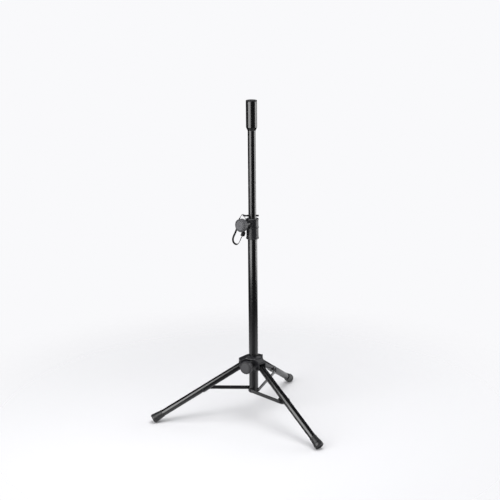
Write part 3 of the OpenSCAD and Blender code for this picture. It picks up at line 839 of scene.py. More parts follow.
def tube(radius: float, wall: float, low: float, high: float, burr: float, place: Place, segments: int) -> Surface:
    """A tube along the place's Z, whose ends have their burrs broken.

    Args:
        radius: Outer radius.
        wall: Wall.
        low: Where it starts.
        high: Where it ends.
        burr: Fillet at the ends' edges.
        place: Where it lies.
        segments: Points round it.

    Returns:
        The turned surface.
    """
    inner = radius - wall
    profile = rounded([(radius, low, burr), (radius, high, burr), (inner, high, burr), (inner, low, burr)], 4, True)
    return turned(profile, place, segments, closed=True)


@dataclass
class Pole:
    """The pole: a lower tube with its plug, and the mast with its sleeve adapter and cap."""

    tube_radius: float = 15
    tube_wall: float = 1.5
    mast_radius: float = 12.5
    sleeve_radius: float = 17.5
    taper: float = 10
    rim: float = 0.8
    burr: float = 0.35
    plug_flange: float = 1.6
    plug_dish: float = 0.8
    spigot: float = 13
    cap_dish: float = 0.6

    def build(self) -> None:
        """Makes the pole's pieces."""
        shell = tube(self.tube_radius, self.tube_wall, *levels("lower_tube"), self.burr, upright(), 128)
        make_piece("lower_tube_shell", shell, "column", POWDER_COAT, ["lower_tube"])
        self.build_plug()
        self.build_adapter()
        # The shoulder rivets at the tube's foot, one outside each strut
        pivots = [POLE_PIVOT.along(strut_place(side)[0].along_minus_y(), 4.1, 18.3) for side in Side]
        make_piece("strut_pivot_rivets", joined(pivots), "column", BLACK_OXIDE, ["strut_pivots"])

    def build_plug(self) -> None:
        """The plug in the tube's lower end: a shallow dish with a rounded flange."""
        low, high = levels("tube_plug")
        dish, flange = low + self.plug_dish, low + self.plug_flange
        core = self.tube_radius - self.tube_wall - SEAT
        profile = rounded([
            (0, dish, 0), (9, dish, 1), (10, low, 0.6), (self.tube_radius, low, 1.1),
            (self.tube_radius, flange, 0.2), (core, flange, 0), (core, high, 0.4), (0, high, 0)], 6)
        make_piece("tube_plug_shell", turned(profile, upright()), "column", MOULDED_NYLON, ["tube_plug"])

    def build_adapter(self) -> None:
        """The sleeve over the mast's top, tapered at its lower end, and the cap that closes it."""
        low, high = levels("pole_adapter")
        bore, r = self.mast_radius + SEAT, self.sleeve_radius
        profile = rounded([
            (bore, low, 0), (self.mast_radius + self.rim, low, 0.3), (r, low + self.taper, 4), (r, high, 0.4),
            (bore, high, 0)], 8, True)
        make_piece("adapter_sleeve", turned(profile, upright(), 128, closed=True), "mast", POWDER_COAT,
                   ["pole_adapter"])
        _, top = levels("adapter_cap")
        core, end, rest, dish = self.mast_radius - 1.7, high - self.spigot, high + SEAT, top - self.cap_dish
        profile = rounded([
            (0, end, 0), (core, end, 0.8), (core, rest, 0), (r, rest, 0.3), (r, top, 1.1), (13.2, top, 0.4),
            (12.6, dish, 0.4), (0, dish, 0)], 6)
        make_piece("adapter_cap_disc", turned(profile, upright()), "mast", CAP_RUBBER, ["adapter_cap"])


@dataclass(frozen=True)
class Boss:
    """A clamp's boss on a moulding, and the pocket in it for the threaded insert.

    Distances along the knob's axis count from the pole's axis.
    """

    clamp: str
    end: float
    pocket_start: float
    root: float = 5
    radius: float = 10
    edge: float = 1.6
    pocket_radius: float = 6.05

    def fields(self, x: Array, y: Array, z: Array) -> tuple[Array, Array]:
        """Distances to the boss, a cylinder with a rounded edge, and to its pocket.

        Args:
            x: First coordinates.
            y: Second coordinates.
            z: Third coordinates.

        Returns:
            The boss's field and the pocket's.
        """
        place = knob_place(self.clamp)
        _, side, out = place.axes
        along, aside = x * out[0] + y * out[1], x * side[0] + y * side[1]
        off_axis = np.hypot(aside, z - place.origin[2])
        boss = smooth_common(off_axis - self.radius, along - self.end, self.edge)
        pocket = np.maximum(off_axis - self.pocket_radius, self.pocket_start - along)
        return np.maximum(boss, self.root - along), pocket


@dataclass
class Clamp:
    """A clamp's knob with its cap. Distances along the knob's axis count from the pole's axis."""

    name: str
    boss_end: float
    grip_finish: Finish
    cap_finish: Finish
    radius: float = 21
    thickness: float = 18.5
    neck_radius: float = 8
    neck_length: float = 7.5
    gap: float = 0.6
    cap_radius: float = 15.4
    cap_depth: float = 1
    cap_thickness: float = 1.6
    flutes: int = 18
    flute_depth: float = 0.75

    def fluted(self, r: Array, z: Array, a: Array) -> Array:
        """Radii with shallow flutes: r less the depth times cos^8 of half the flute's angle, on the rim alone."""
        on_rim = np.clip((r - (self.radius - 3)) / 2, 0, 1)
        return r - self.flute_depth * on_rim * np.cos(a * self.flutes / 2) ** 8

    def build(self) -> None:
        """Makes the knob's neck, its grip and its cap."""
        place, knob = knob_place(self.name), f"{self.name}_knob"
        neck, neck_r, r, cap_r = self.boss_end + self.gap, self.neck_radius, self.radius, self.cap_radius
        face = neck + self.neck_length
        top = face + self.thickness
        floor = top - self.cap_depth
        profile = rounded([
            (0, neck, 0), (neck_r, neck, 0.5), (neck_r, face, 1.2), (neck_r + 2.5, face + SEAT, 0),
            (0, face + SEAT, 0)], 6)
        # The neck takes the collar's darker nylon rather than the grip's, as painted shade in the gap between knob and
        # collar.
        make_piece(f"{knob}_neck", turned(profile, place, 96), knob, MOULDED_NYLON, [knob], sharp=50)
        profile = rounded([
            (0, face, 0), (r, face, 3), (r, top, 4), (cap_r + 0.7, top, 0.5), (cap_r + SEAT, floor, 0.1),
            (0, floor, 0)], 9)
        grip = turned(profile, place, 288, shape=self.fluted)
        make_piece(f"{knob}_grip", grip, knob, self.grip_finish, [knob], sharp=50)
        low = floor + SEAT
        high = low + self.cap_thickness
        profile = rounded([(0, low, 0), (cap_r, low, 0), (cap_r, high - 0.3, 0.5), (cap_r - 2.5, high, 4),
                           (0, high, 0)], 6)
        make_piece(f"{knob}_disc", turned(profile, place, 128), knob, self.cap_finish, [f"{knob}_cap"])


@dataclass
class Collar:
    """The clamp collar: a moulding riveted to the lower tube, its liner, its rivets and the safety pin."""

    inner_radius: float = 15.1
    outer_radius: float = 19.4
    rib: float = 1.0
    grip: float = 37.5
    boss_length: float = 12.5
    pocket_start: float = 20
    brim: float = 0.8
    brim_height: float = 3.6
    liner_bore: float = 12.58
    liner_radius: float = 14.5
    liner_head: float = 28
    pin_radius: float = 3
    eye_radius: float = 5.2
    eye_wire: float = 1.6
    eye_at: float = 24.5

    @property
    def boss_end(self) -> float:
        """Where the clamp's boss ends, from the pole's axis."""
        return self.outer_radius + self.boss_length

    def side_outline(self, low: float, high: float) -> Array:
        """The collar's section: end flange, middle rib and a low brim round the top.

        Args:
            low: The collar's lower end.
            high: Its upper end.

        Returns:
            Corners (distance from the pole's axis, level).
        """
        r, middle, within = self.outer_radius, low + self.grip, 10
        out, brim, under = r + self.rib, r + self.brim, high - self.brim_height
        return np.array([
            (within, low), (out, low), (out, low + 5), (r, low + 6.2), (r, middle - 2), (out, middle - 1),
            (out, middle + 2), (r, middle + 3), (r, under - 1), (brim, under), (brim, high - 0.5),
            (brim - 0.5, high), (within, high)])

    def body_field(self) -> Field:
        """The moulding as a field: the turned section and the boss, joined by a fillet, less bore and pocket."""
        outline = self.side_outline(*levels("collar_body"))
        clamp = Boss("collar", self.boss_end, self.pocket_start)

        def distance(x: Array, y: Array, z: Array) -> Array:
            """Distance to the moulding's surface."""
            r = np.hypot(x, y)
            boss, pocket = clamp.fields(x, y, z)
            solid = smooth_union(outline_distance(r, z, outline), boss, 3.5)
            solid = smooth_cut(solid, r - self.inner_radius, 0.6)
            return smooth_cut(solid, pocket, 0.5)

        return distance

    def build(self) -> None:
        """Makes the collar's pieces."""
        make_moulding("collar_moulding", "collar_body", "column", self.body_field())
        self.build_liner()
        self.build_rivets()
        self.build_pin()

    def build_liner(self) -> None:
        """The liner, whose low lip stands over the collar's top."""
        low, high = levels("collar_bush")
        _, top = levels("collar_body")
        bore, r, lip = self.liner_bore, self.liner_radius, top + SEAT
        step = top - self.liner_head
        profile = rounded([
            (bore, low, 0), (13.4, low, 0), (13.4, step, 0), (r, step, 0), (r, lip, 0), (r + 1.2, lip, 0.2),
            (r + 0.6, high, 0.5), (bore, high, 0.2)], 5, True)
        make_piece("collar_liner", turned(profile, upright(), 96, closed=True), "column", LINER_ACETAL,
                   ["collar_bush"])

    def build_rivets(self) -> None:
        """The two rivets at the collar's back, with low domed heads."""
        level = sum(levels("collar_rivets")) / 2
        ways = [np.array([math.cos(turn), math.sin(turn), 0]) for turn in (math.pi / 4, 3 * math.pi / 4)]
        rivets = [RIVET.along(facing_out(level, way), 13.8, self.outer_radius + SEAT) for way in ways]
        make_piece("collar_rivet_heads", joined(rivets), "column", BLACK_OXIDE, ["collar_rivets"])

    def build_pin(self) -> None:
        """The safety pin: a shaft with a bullet end, and a level eye of round wire welded to it."""
        low, high = box("safety_pin")
        level = (low[2] + high[2]) / 2
        r, tip, bullet = self.pin_radius, 1.3, 1.6
        start, end = self.eye_radius - self.eye_at, high[0]
        profile = rounded([
            (0, start - 0.8, 0), (tip, start - 0.8, 0.3), (r, start + bullet, 0.8), (r, end - bullet, 1.2),
            (tip, end, 0.8), (0, end, 0)], 6)
        t = np.arange(24) * 2 * np.pi / 24
        ring = np.stack([self.eye_radius + self.eye_wire * np.cos(t), self.eye_wire * np.sin(t)], -1)
        shaft = turned(profile, upright(z=level).along_x(), 48)
        eye = turned(ring, upright(-self.eye_at, 0, level), 64, closed=True)
        make_piece("safety_pin_shaft", joined([shaft, eye]), "safety_pin", BLACK_OXIDE, ["safety_pin"])


@dataclass
class Tether:
    """The safety pin's tether: a closed flat strap in two lengths, and the head that locks it."""

    width: float = 6
    thickness: float = 1.4
    per_span: int = 6
    # The strap's route: x, y, height over the knob's axis, and the turn of its width in degrees
    route: tuple[tuple[float, float, float, float], ...] = (
        (-42, 0, 11, 0), (-44, -1, 3, 25), (-46, -2, -6, 45), (-49, -3, -15, 45), (-52, -4, -24, 45),
        (-56, -4, -34, 45), (-61, -5, -45, 45), (-63, -5, -55, 45), (-61, -6, -63, 40), (-56, -8, -68, 35),
        (-50, -10, -69, 35), (-45, -12, -65, 35), (-41, -14, -58, 40), (-38, -16, -51, 50), (-36, -18, -45, 50),
        (-33, -20, -40, 30), (-31, -21, -35, 0), (-29, -22, -29, 0), (-26, -25, -22, 0), (-24, -26, -15, 0),
        (-22, -28, -10, 0), (-19, -30, -6, 0), (-17, -32, 0, 0), (-19, -31, 7, 15), (-20, -28, 12, 35),
        (-21, -20, 15, 50), (-22, -10, 15, 65), (-24, -2, 18, 55), (-24, 0, 22, 45), (-25, 0, 25, 45),
        (-28, 0, 27, 30), (-32, 0, 27, -10), (-37, 0, 21, -30))
    # The main length runs from the first point to this one, and the bight from here back to the first
    parting: int = 26
    # The head sits from this point to the next
    head_at: int = 16
    head_size: tuple[float, float, float] = (12, 9, 14)
    # Where each length starts and ends to turn from its one body to its other, over the knob's axis
    main_turn: tuple[float, float] = (1.0, 8.9)
    bight_turn: tuple[float, float] = (15.5, 22)

    def strap(self, name: str, part: Array, nodes: Sequence[str]) -> bpy.types.Object:
        """One length of the strap.

        Args:
            name: The piece's name.
            part: Points (x, y, z, turn in radians) along it.
            nodes: The CAD nodes that it replaces.

        Returns:
            The piece.
        """
        axis = knob_place("collar").axes[2]
        surface = strap_tube(part[:, :3], axis, part[:, 3], self.width, self.thickness)
        return make_piece(name, surface, "", STRAP_ELASTOMER, nodes, sharp=50)

    def build(self) -> None:
        """Makes both lengths and the head."""
        level = np.array([0, 0, knob_place("collar").origin[2]])
        route = np.array(self.route, float)
        route[:, :3] += level
        route[:, 3] = np.radians(route[:, 3])
        line = smooth_loop(route, self.per_span)
        cut = self.parting * self.per_span
        main_line, bight_line = line[:cut + 1], np.concatenate([line[cut:], line[:1]])
        main = self.strap("tether_strap", main_line, ["tether_loop", "tether_lead_left", "tether_lead_right"])
        bight = self.strap("tether_bight_strap", bight_line, ["tether_bight"])
        head = self.build_head(route[self.head_at:self.head_at + 2, :3])
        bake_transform(main)
        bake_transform(bight)

    def build_head(self, span: Array) -> bpy.types.Object:
        """The locking head: a block with rounded corners and ends.

        Args:
            span: The two route points that the head sits between.

        Returns:
            The head's object.
        """
        along = span[1] - span[0]
        along /= np.linalg.norm(along)
        axis = knob_place("collar").axes[2]
        wide = axis - (axis @ along) * along
        wide /= np.linalg.norm(wide)
        half, fillet = np.array(self.head_size) / 2, 1.6
        heights = np.array([-1.0, -0.93, -0.8, 0.8, 0.93, 1.0]) * half[2]
        inset = np.array([1.0, 0.25, 0.0, 0.0, 0.25, 1.0]) * 1.1
        rings = []
        for height, back in zip(heights, inset):
            w, t = half[0] - back, half[1] - back
            ring = rounded([(w, -t, fillet), (w, t, fillet), (-w, t, fillet), (-w, -t, fillet)], 5, True)
            rings.append(np.column_stack([ring, np.full(len(ring), height)]))
        place = Place(span.mean(0), np.array([wide, np.cross(along, wide), along]))
        return make_piece("tether_lock", lofted(np.stack(rings), place), "column", STRAP_ELASTOMER, ["tether_head"])


@dataclass
class Hub:
    """The leg hub: a moulded sleeve with three forked arms under one sloping roof, and the legs' pivot bolts.

    Heights count from the legs' pivots.
    """

    bore: float = 15.08
    sleeve: float = 20
    up: float = 31
    down: float = 22
    pivot_radius: float = 40
    arm_reach: float = 47.5
    edge_up: float = 20
    skirt: float = 29
    roof: float = 3
    cheek: float = 15
    slot: float = 11.6
    eye: float = 8.7
    knee: float = 8
    boss_length: float = 12.5
    pocket_start: float = 24
    tail_sweep: float = 15.8
    nut_height: float = 5
    nut_corner: float = 5.6

    @property
    def boss_end(self) -> float:
        """Where the clamp's boss ends, from the pole's axis."""
        return self.sleeve + self.boss_length

    def roof_height(self, r: float) -> float:
        """The roof's height at a distance from the pole's axis: a straight slope."""
        return self.up - (self.up - self.edge_up) / (self.arm_reach - self.sleeve) * (r - self.sleeve)

    def clear_height(self, r: float) -> float:
        """Height that clears a leg's upper end as it swings: sqrt(sweep^2 - (r - pivot)^2)."""
        return math.sqrt(self.tail_sweep ** 2 - (r - self.pivot_radius) ** 2)

    def outlines(self) -> tuple[Array, Array, Array]:
        """The sections of sleeve, arm and slot, as corners (distance from the pole's axis, height)."""
        s, reach, skirt, roof, wall = self.sleeve, self.arm_reach, self.skirt, self.roof_height, self.roof
        down, within, lip = self.down, 10, reach - 5.5
        sleeve = [
            (within, -down), (s - 2.6, -down), (s - 2, 1 - down), (s, 18 - down), (s, roof(s) - wall - 2),
            (skirt, roof(skirt) - wall), (skirt, roof(skirt) - 0.8), (skirt - 0.8, roof(skirt - 0.8)), (s, roof(s)),
            (s - 1.4, self.up + 1), (within, self.up + 1)]
        arm = [
            (s - 4, roof(s)), (s, roof(s)), (reach - 1.2, roof(reach - 1.2)), (reach, roof(reach) - 1.2),
            (reach, self.edge_up - 11), (self.pivot_radius + 8.6, 1.4), (self.pivot_radius, -4), (s - 4, -13)]
        slot = [
            (s + 0.8, -60), (80, -60), *[(r, self.clear_height(min(r, reach))) for r in (80, reach, lip + 3)],
            (lip, roof(lip) - wall), (s + 2.8, roof(s + 2.8) - wall), (s + 0.8, roof(s) - wall - 2.5)]
        return np.array(sleeve), np.array(arm), np.array(slot)

    def body_field(self) -> Field:
        """The moulding as a field: sleeve, roof, arms and boss with fillets, less slots, bores and pocket.

        A point is turned into the wedge of its nearest arm, so that one arm's outlines serve all three.
        """
        pivot, _ = joint("leg_left_fold")
        first, third = math.atan2(pivot[1], pivot[0]), 2 * np.pi / 3
        sleeve_line, arm_line, slot_line = self.outlines()
        clamp = Boss("hub", self.boss_end, self.pocket_start)

        def distance(x: Array, y: Array, z: Array) -> Array:
            """Distance to the moulding's surface."""
            r, h = np.hypot(x, y), z - pivot[2]
            turn = (np.arctan2(y, x) - first + third / 2) % third - third / 2
            u, v = r * np.cos(turn), r * np.sin(turn)
            from_pivot = np.hypot(u - self.pivot_radius, h)
            knee = np.hypot(u - self.sleeve - 4, h + 4) - self.knee
            side_view = smooth_union(outline_distance(u, h, arm_line), from_pivot - self.eye, 1)
            arm = smooth_common(smooth_union(side_view, knee, 1), np.abs(v) - self.cheek, 2.2)
            body = outline_distance(r, h, sleeve_line)
            solid = smooth_union(body, np.maximum(arm, self.sleeve - 3 - r), 3)
            boss, pocket = clamp.fields(x, y, z)
            solid = smooth_union(solid, boss, 3)
            slot = smooth_common(outline_distance(u, h, slot_line), np.abs(v) - self.slot, 1.2)
            solid = smooth_cut(solid, slot, 0.9)
            hole = from_pivot - LEG_BOLT.shank - SEAT
            solid = smooth_cut(solid, np.maximum(hole, self.sleeve - u), 0.4)
            solid = smooth_cut(solid, r - self.bore, 0.7)
            return smooth_cut(solid, pocket, 0.5)

        return distance

    def build(self) -> None:
        """Makes the hub's moulding and the bolts and nuts through its forks."""
        make_moulding("hub_moulding", "leg_hub", "leg_hub", self.body_field())
        face, up = self.cheek + SEAT, np.array([0, 0, 1.0])
        bolts, nuts = [], []
        for side in Side:
            leg = leg_place(side)
            across = leg.axes[1]
            flat = Place(leg.origin, np.array([np.cross(across, up), across, up]))
            bolts.append(LEG_BOLT.along(flat.along_y(), -self.cheek - 6.3, face))
            nuts.append(hex_nut(flat.along_minus_y(), face, self.nut_height, self.nut_corner, LEG_BOLT.shank + SEAT))
        make_piece("pivot_bolt_heads", joined(bolts), "leg_hub", BLACK_OXIDE, ["pivot_bolts"])
        make_piece("pivot_hex_nuts", joined(nuts), "leg_hub", BLACK_OXIDE, ["pivot_nuts"], sharp=20)


def hex_nut(place: Place, start: float, height: float, corner: float, hole: float) -> Surface:
    """A hex nut along the place's Z, its corners chamfered by a cone.

    The side's radius is flat / cos(the angle from the middle of a flat), and never more than the cone's radius,
    which shrinks towards both faces.

    Args:
        place: Where it lies.
        start: Where its near face is.
        height: Its height.
        corner: Radius to a corner.
        hole: Radius of the hole.

    Returns:
        The turned surface.
    """
    flat = corner * math.cos(math.pi / 6)
    rise = np.array([0, 0.0, 0.12, 0.24, 0.76, 0.88, 1.0, 1.0]) * height
    cone = np.array([hole, flat * 0.97, flat * 1.06, corner, corner, flat * 1.06, flat * 0.97, hole])

    def six_sided(r: Array, z: Array, a: Array) -> Array:
        """The lesser of the cone's radius and the hexagon's."""
        hexagon = flat / np.cos((a + np.pi / 6) % (np.pi / 3) - np.pi / 6)
        return np.minimum(r, np.where(r > hole + 0.01, hexagon, r))

    return turned(np.column_stack([cone, start + rise]), place, 96, closed=True, shape=six_sided)


@dataclass
class Leg:
    """A leg: tube, end plug, strut bracket with its rivets, and rubber foot."""

    side: Side
    radius: float = 11
    wall: float = 1.2
    burr: float = 0.3
    tail: float = 10
    sole: float = 8
    plug_length: float = 18
    bracket: float = 2
    bracket_length: float = 26
    ear_face: float = 15
    rivet_forward: float = 7
    foot_radius: float = 15.2
    foot_mouth: float = 12.5
    foot_length: float = 38

    @property
    def name(self) -> str:
        """The leg's body, and the start of its nodes' names."""
        return f"leg_{self.side.value}"

    def build(self) -> None:
        """Makes the leg's pieces."""
        place = leg_place(self.side)
        along = place.along_x()
        tip, r = -self.tail, self.radius
        shell = tube(r, self.wall, tip, LEG_LENGTH - self.sole, self.burr, along, 96)
        make_piece(f"{self.name}_shell", shell, self.name, POWDER_COAT, [f"{self.name}_tube"])
        core, end = r - self.wall - SEAT, tip + self.plug_length
        plug = rounded([
            (0, tip - 3, 0), (r - 1, tip - 3, 3.6), (r - 0.2, tip - SEAT, 0.2), (core, tip - SEAT, 0), (core, end, 0),
            (0, end, 0)], 8)
        make_piece(f"{self.name}_dome", turned(plug, along, 64), self.name, MOULDED_NYLON, [f"{self.name}_plug"])
        self.build_bracket(place.at(STRUT_AT, 0, 0))
        self.build_foot(along)

    def build_bracket(self, place: Place) -> None:
        """The saddle under the leg, its ear for the strut, and the rivets.

        The saddle is a plate bent round the leg: its section runs over the angle a from the ear's side, under the
        leg, to the far side, at the radii r and r + thickness.

        Args:
            place: The leg's frame at the bracket.
        """
        inner = self.radius + SEAT
        outer, half, drop = inner + self.bracket, self.bracket_length / 2, EAR_DROP
        a = np.linspace(math.radians(-192), math.radians(12), 48)
        bend = np.column_stack([np.cos(a), np.sin(a)])
        section, x = np.concatenate([outer * bend, inner * bend[::-1]]), np.array([-half, half])
        saddle = lofted(np.stack([x[:, None] + 0 * section[:, 0], section[:, 0] + 0 * x[:, None],
                                  section[:, 1] + 0 * x[:, None]], -1), place)
        ear = rounded([
            (-half, 3 - drop, 1), (-half, 1 - drop, 3), (-6.5, -drop - 4.6, 5), (0, -drop - 8.4, 6),
            (6.5, -drop - 4.6, 5), (half, 1 - drop, 3), (half, 3 - drop, 1)], 8, True)
        flange = plate(ear, inner + 0.4, self.ear_face, 0.3, place)
        make_piece(f"{self.name}_saddle", joined([saddle, flange]), self.name, POWDER_COAT,
                   [f"{self.name}_bracket"])
        through = place.at(self.rivet_forward, 0, 0).along_y()
        rivet = RIVET.along(through, -self.ear_face + SEAT, outer + SEAT)
        r, start, end = STRUT_PIVOT.shank, 11.3, self.ear_face
        stub = rounded([(0, start, 0), (r, start, 0.2), (r, end, 0.2), (0, end, 0)], 3)
        half_pivot = turned(stub, place.at(0, 0, -drop).along_minus_y(), 40)
        make_piece(f"{self.name}_pins", joined([rivet, half_pivot]), self.name, BLACK_OXIDE, [f"{self.name}_rivets"])

    def build_foot(self, along: Place) -> None:
        """The rubber foot: lip, flare, groove and rounded end, flattened where it stands on the floor.

        Points that would lie under the floor are lifted to it, as the worn flat.

        Args:
            along: The leg's frame, with Z along the leg.
        """
        start, end = LEG_LENGTH - self.foot_length, LEG_LENGTH
        mouth, r, seat = self.foot_mouth, self.foot_radius, self.radius + SEAT
        profile = rounded([
            (seat, start, 0), (mouth, start, 0.5), (mouth, start + 3.2, 0.6), (mouth - 0.7, start + 3.9, 0.6),
            (mouth - 0.3, start + 8, 6), (r - 0.5, end - 12.4, 0.5), (r - 1.8, end - 11.9, 0.3),
            (r - 1.8, end - 10.6, 0.3), (r, end - 10.1, 0.4), (r, end, 2.5), (9, end, 0.8), (8.2, end - 0.9, 0.6),
            (0, end - 0.9, 0)], 7)
        boot = turned(profile, along, 128)
        boot.points[:, 2] = np.maximum(boot.points[:, 2], 0.0)
        make_piece(f"{self.name}_boot", boot, self.name, FOOT_RUBBER, [f"{self.name}_foot"])


@dataclass
class Strut:
    """A strut: a flat steel bar with round ends, and the rivet at its outer end."""

    side: Side
    half_width: float = 6
    near: float = 15.4
    thickness: float = 2.5
    edge: float = 0.5

    def build(self) -> None:
        """Makes the bar and its rivet."""
        name = f"strut_{self.side.value}"
        place, length = strut_place(self.side)
        far = self.near + self.thickness
        bar = plate(stadium(0, length, self.half_width), self.near, far, self.edge, place)
        make_piece(f"{name}_strip", bar, name, POWDER_COAT, [f"{name}_bar"])
        pin = STRUT_PIVOT.along(place.at(length, 0, 0).along_minus_y(), self.near, far + SEAT)
        make_piece(f"{name}_pin", pin, name, BLACK_OXIDE, [f"{name}_rivet"])


# The studio, in metres

def set_place(thing: bpy.types.Object, axes: Sequence[Array], at: Sequence[float]) -> None:
    """Stands an object at a point, with its own X, Y and Z along three directions."""
    turn = np.eye(4)
    turn[:3, :3], turn[:3, 3] = np.column_stack(axes), at
    thing.matrix_world = Matrix(turn.tolist())


@dataclass(frozen=True)
class SoftBox:
    """A soft box: where it stands, the point that it faces, its width and height, and its power in watts."""

    name: str
    at: tuple[float, float, float]
    to: tuple[float, float, float]
    size: tuple[float, float]
    watts: float
    mirrored: bool = True

    def build(self) -> None:
        """Makes the area lamp. Glossy surfaces show it where it is mirrored."""
        data = bpy.data.lights.new(self.name, "AREA")
        data.shape, data.energy = "RECTANGLE", self.watts
        data.size, data.size_y = self.size
        lamp = add_object(self.name, data)
        lamp.visible_camera = False
        lamp.visible_glossy = self.mirrored
        back = np.array(self.at, float) - np.array(self.to, float)
        back /= np.linalg.norm(back)
        straight_down = abs(back[2]) > 0.95
        helper = np.array([0, 1.0, 0]) if straight_down else np.array([0, 0, 1.0])
        right = np.cross(helper, back)
        right /= np.linalg.norm(right)
        set_place(lamp, (right, np.cross(back, right), back), self.at)


@dataclass
class Studio:
    """A pale floor that fades into a white room, soft boxes round the stand, and the photograph's camera."""

    camera_at: tuple[float, float, float] = (-0.0084, -3.7369, 1.6191)
    pitch: float = 0.2715
    roll: float = 0.0091
    focal_length: float = 86.55
    sensor: float = 36.0
    white: str = "#f9f9fb"
    # The world's strength as light, and how much of the walls' brightness reflections show overhead
    fill: float = 0.35
    overhead: float = 0.25
    # How steeply a reflection has to look up for the walls to end and for the ceiling to start
    wall_top: tuple[float, float] = (0.05, 0.3)
    # The floor's radius and drop, its share of paint by the pole, and the radii between which the paint fades
    floor_radius: float = 1.7
    floor_drop: float = 0.0002
    floor_share: float = 0.95
    floor_fade: tuple[float, float] = (0.42, 1.25)
    # The floor's paint, and a darker colour seen only in reflections where the floor lies ahead of the stand: painted
    # shade in the reflections
    floor_paint: str = "#b7b7b9"
    floor_reflection_shade: str = "#6a6a6c"
    floor_ahead: tuple[float, float] = (-0.55, -0.95)
    # Degrees from straight behind the stand, right being positive, and the walls' brightness there
    walls: tuple[tuple[float, float], ...] = (
        (-180, 0.03), (-105, 0.04), (-60, 0.12), (-20, 0.3), (20, 0.7), (50, 1.0), (95, 1.0), (125, 0.04), (180, 0.03))
    boxes: tuple[SoftBox, ...] = (
        SoftBox("left_box", (-1.72, -1.68, 1.0), (0.0, 0.0, 1.0), (2.3, 1.9), 77),
        SoftBox("high_left_box", (-1.21, -1.29, 2.0), (-0.2, 0.0, 0.12), (1.2, 0.97), 20),
        SoftBox("right_box", (2.33, 0.56, 0.65), (0.0, 0.0, 0.65), (2.1, 1.4), 44),
        SoftBox("back_box", (0.1, 1.75, 2.2), (0.0, 0.0, 0.15), (1.8, 1.0), 9),
        SoftBox("top_box", (0.3, -0.4, 3.0), (0.0, 0.0, 0.0), (2.1, 2.1), 105, mirrored=False))

    def build(self) -> None:
        """Makes camera, floor, room and lights."""
        bpy.context.scene.view_settings.view_transform = "Standard"
        self.add_camera()
        self.add_floor()
        self.add_room()
        for soft_box in self.boxes:
            soft_box.build()

    def add_camera(self) -> None:
        """The camera, pitched down and turned about its own axis by the roll."""
        level = np.array([1.0, 0, 0])
        forward = np.array([0, math.cos(self.pitch), -math.sin(self.pitch)])
        up = np.cross(level, forward)
        x_axis = math.cos(self.roll) * level - math.sin(self.roll) * up
        y_axis = math.sin(self.roll) * level + math.cos(self.roll) * up
        data = bpy.data.cameras.new("camera")
        data.lens, data.sensor_width = self.focal_length, self.sensor
        camera = add_object("camera", data)
        set_place(camera, (x_axis, y_axis, -forward), self.camera_at)
        bpy.context.scene.camera = camera

    def add_floor(self) -> None:
        """A painted floor disc, whose paint fades until it is clear at its edge.

        Its paint is grey enough to come out white under the lamps and still take the stand's shadows.
        """
        rings = 8
        profile = np.column_stack([np.arange(rings + 1) * self.floor_radius / rings, np.zeros(rings + 1)]) / MM
        mesh = make_mesh("floor", turned(profile, upright(z=-self.floor_drop / MM), 64))
        add_object("floor", mesh)
        made = bpy.data.materials.new("white_floor")
        made.use_nodes = True
        tree = made.node_tree
        tree.nodes.remove(tree.nodes["Principled BSDF"])
        smooth = {"interpolation_type": "SMOOTHSTEP"}
        where = add_node(tree, "TexCoord").outputs["Object"]
        far = add_node(tree, "VectorMath", {"operation": "LENGTH"}, {0: where})
        share = add_node(tree, "MapRange", smooth, {
            "Value": far.outputs["Value"], "From Min": self.floor_fade[0], "From Max": self.floor_fade[1],
            "To Min": self.floor_share, "To Max": 0.0})
        way = add_node(tree, "VectorMath", {"operation": "NORMALIZE"}, {0: where})
        parts = add_node(tree, "SeparateXYZ", inputs={"Vector": way.outputs["Vector"]})
        # Painted shade in reflections: glossy rays see the floor ahead of the stand in the darker colour.
        ahead = add_node(tree, "MapRange", smooth, {
            "Value": parts.outputs["Y"], "From Min": self.floor_ahead[0], "From Max": self.floor_ahead[1]})
        rays = add_node(tree, "LightPath")
        shade_in_reflections = add_node(tree, "Math", {"operation": "MULTIPLY"}, {
            0: ahead.outputs["Result"], 1: rays.outputs["Is Glossy Ray"]})
        colour = add_node(tree, "Mix", {"data_type": "RGBA"}, {
            "Factor": shade_in_reflections.outputs["Value"], 6: linear(self.floor_paint), 7: linear(self.floor_reflection_shade)})
        paint = add_node(tree, "BsdfDiffuse", inputs={"Color": colour.outputs[2]})
        clear = add_node(tree, "BsdfTransparent")
        mixed = add_node(tree, "MixShader", inputs={
            0: share.outputs["Result"], 1: clear.outputs["BSDF"], 2: paint.outputs["BSDF"]})
        tree.links.new(mixed.outputs["Shader"], tree.nodes["Material Output"].inputs["Surface"])
        mesh.materials.append(made)

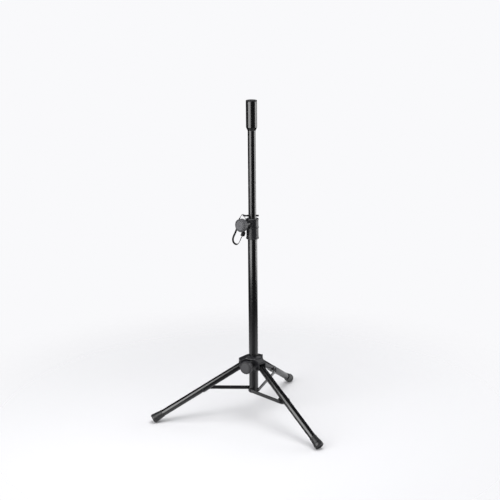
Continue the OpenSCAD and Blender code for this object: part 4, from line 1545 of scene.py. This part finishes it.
    def add_room(self) -> None:
        """The room: white to the camera, dimmer as light, and dark towards the camera in reflections."""
        world = bpy.data.worlds.new("white_room")
        bpy.context.scene.world = world
        world.use_nodes = True
        tree = world.node_tree
        rays = add_node(tree, "LightPath")
        way = add_node(tree, "TexCoord").outputs["Generated"]
        parts = add_node(tree, "SeparateXYZ", inputs={"Vector": way})
        turn = add_node(tree, "Math", {"operation": "ARCTAN2"}, {0: parts.outputs["X"], 1: parts.outputs["Y"]})
        around = add_node(tree, "MapRange", inputs={
            "Value": turn.outputs["Value"], "From Min": -math.pi, "From Max": math.pi})
        walls = add_node(tree, "ValToRGB", inputs={"Fac": around.outputs["Result"]})
        self.paint_walls(walls.color_ramp)
        overhead = add_node(tree, "MapRange", {"interpolation_type": "SMOOTHSTEP"}, {
            "Value": parts.outputs["Z"], "From Min": self.wall_top[0], "From Max": self.wall_top[1],
            "To Min": 1.0, "To Max": self.overhead})
        shown = add_node(tree, "Math", {"operation": "MULTIPLY"}, {
            0: walls.outputs["Color"], 1: overhead.outputs["Result"]})
        light = add_node(tree, "Mix", {"data_type": "FLOAT"}, {
            "Factor": rays.outputs["Is Glossy Ray"], 2: self.fill, 3: shown.outputs["Value"]})
        level = add_node(tree, "Mix", {"data_type": "FLOAT"}, {
            "Factor": rays.outputs["Is Camera Ray"], 2: light.outputs[0], 3: 1.0})
        room = tree.nodes["Background"]
        room.inputs["Color"].default_value = linear(self.white)
        tree.links.new(level.outputs[0], room.inputs["Strength"])

    def paint_walls(self, ramp: bpy.types.ColorRamp) -> None:
        """The walls' brightness round the room, as reflections show it, by degrees from straight behind.

        Args:
            ramp: The ramp to fill, from -180 to 180 degrees.
        """
        ramp.interpolation = "EASE"
        first, last = ramp.elements
        inner = [ramp.elements.new((degrees + 180) / 360) for degrees, _ in self.walls[1:-1]]
        for element, (degrees, level) in zip([first, *inner, last], self.walls):
            element.position = (degrees + 180) / 360
            element.color = (level, level, level, 1.0)


@dataclass
class Stand:
    """The whole stand, in the order in which it is put together."""

    tether: Tether = field(default_factory=Tether)
    pole: Pole = field(default_factory=Pole)
    collar: Collar = field(default_factory=Collar)
    hub: Hub = field(default_factory=Hub)

    def build(self) -> None:
        """Makes every piece, then dresses the frame's own nodes that still show."""
        self.tether.build()
        self.pole.build()
        self.collar.build()
        Clamp("collar", self.collar.boss_end, KNOB_NYLON, KNOB_CAP).build()
        self.hub.build()
        # The hub knob takes the darker copies of the knob's finishes, as painted shade.
        Clamp("hub", self.hub.boss_end, SHADED_KNOB_NYLON, SHADED_KNOB_CAP).build()
        for side in Side:
            Leg(side).build()
            Strut(side).build()
        self.dress_nodes()

    def dress_nodes(self) -> None:
        """Gives each node that no piece stands for the finish of its slot."""
        slots = {part["node"]: Slot(part["material_slot"]) for part in frame["record"]["subparts"]}
        for name, node in frame["nodes"].items():
            if node.hide_render:
                continue
            finish = NODE_FINISHES[slots[name]]
            node.data.materials.clear()
            node.data.materials.append(finish.material())
            log.info("%s: dressed as %s", name, finish.name)


def write_sizes() -> None:
    """Updates the scene's view layer."""
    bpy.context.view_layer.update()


def main() -> None:
    """Builds the studio and the stand."""
    logging.basicConfig(level=logging.INFO, format="%(message)s")
    Studio().build()
    Stand().build()
    write_sizes()


if __name__ == "__main__":
    main()
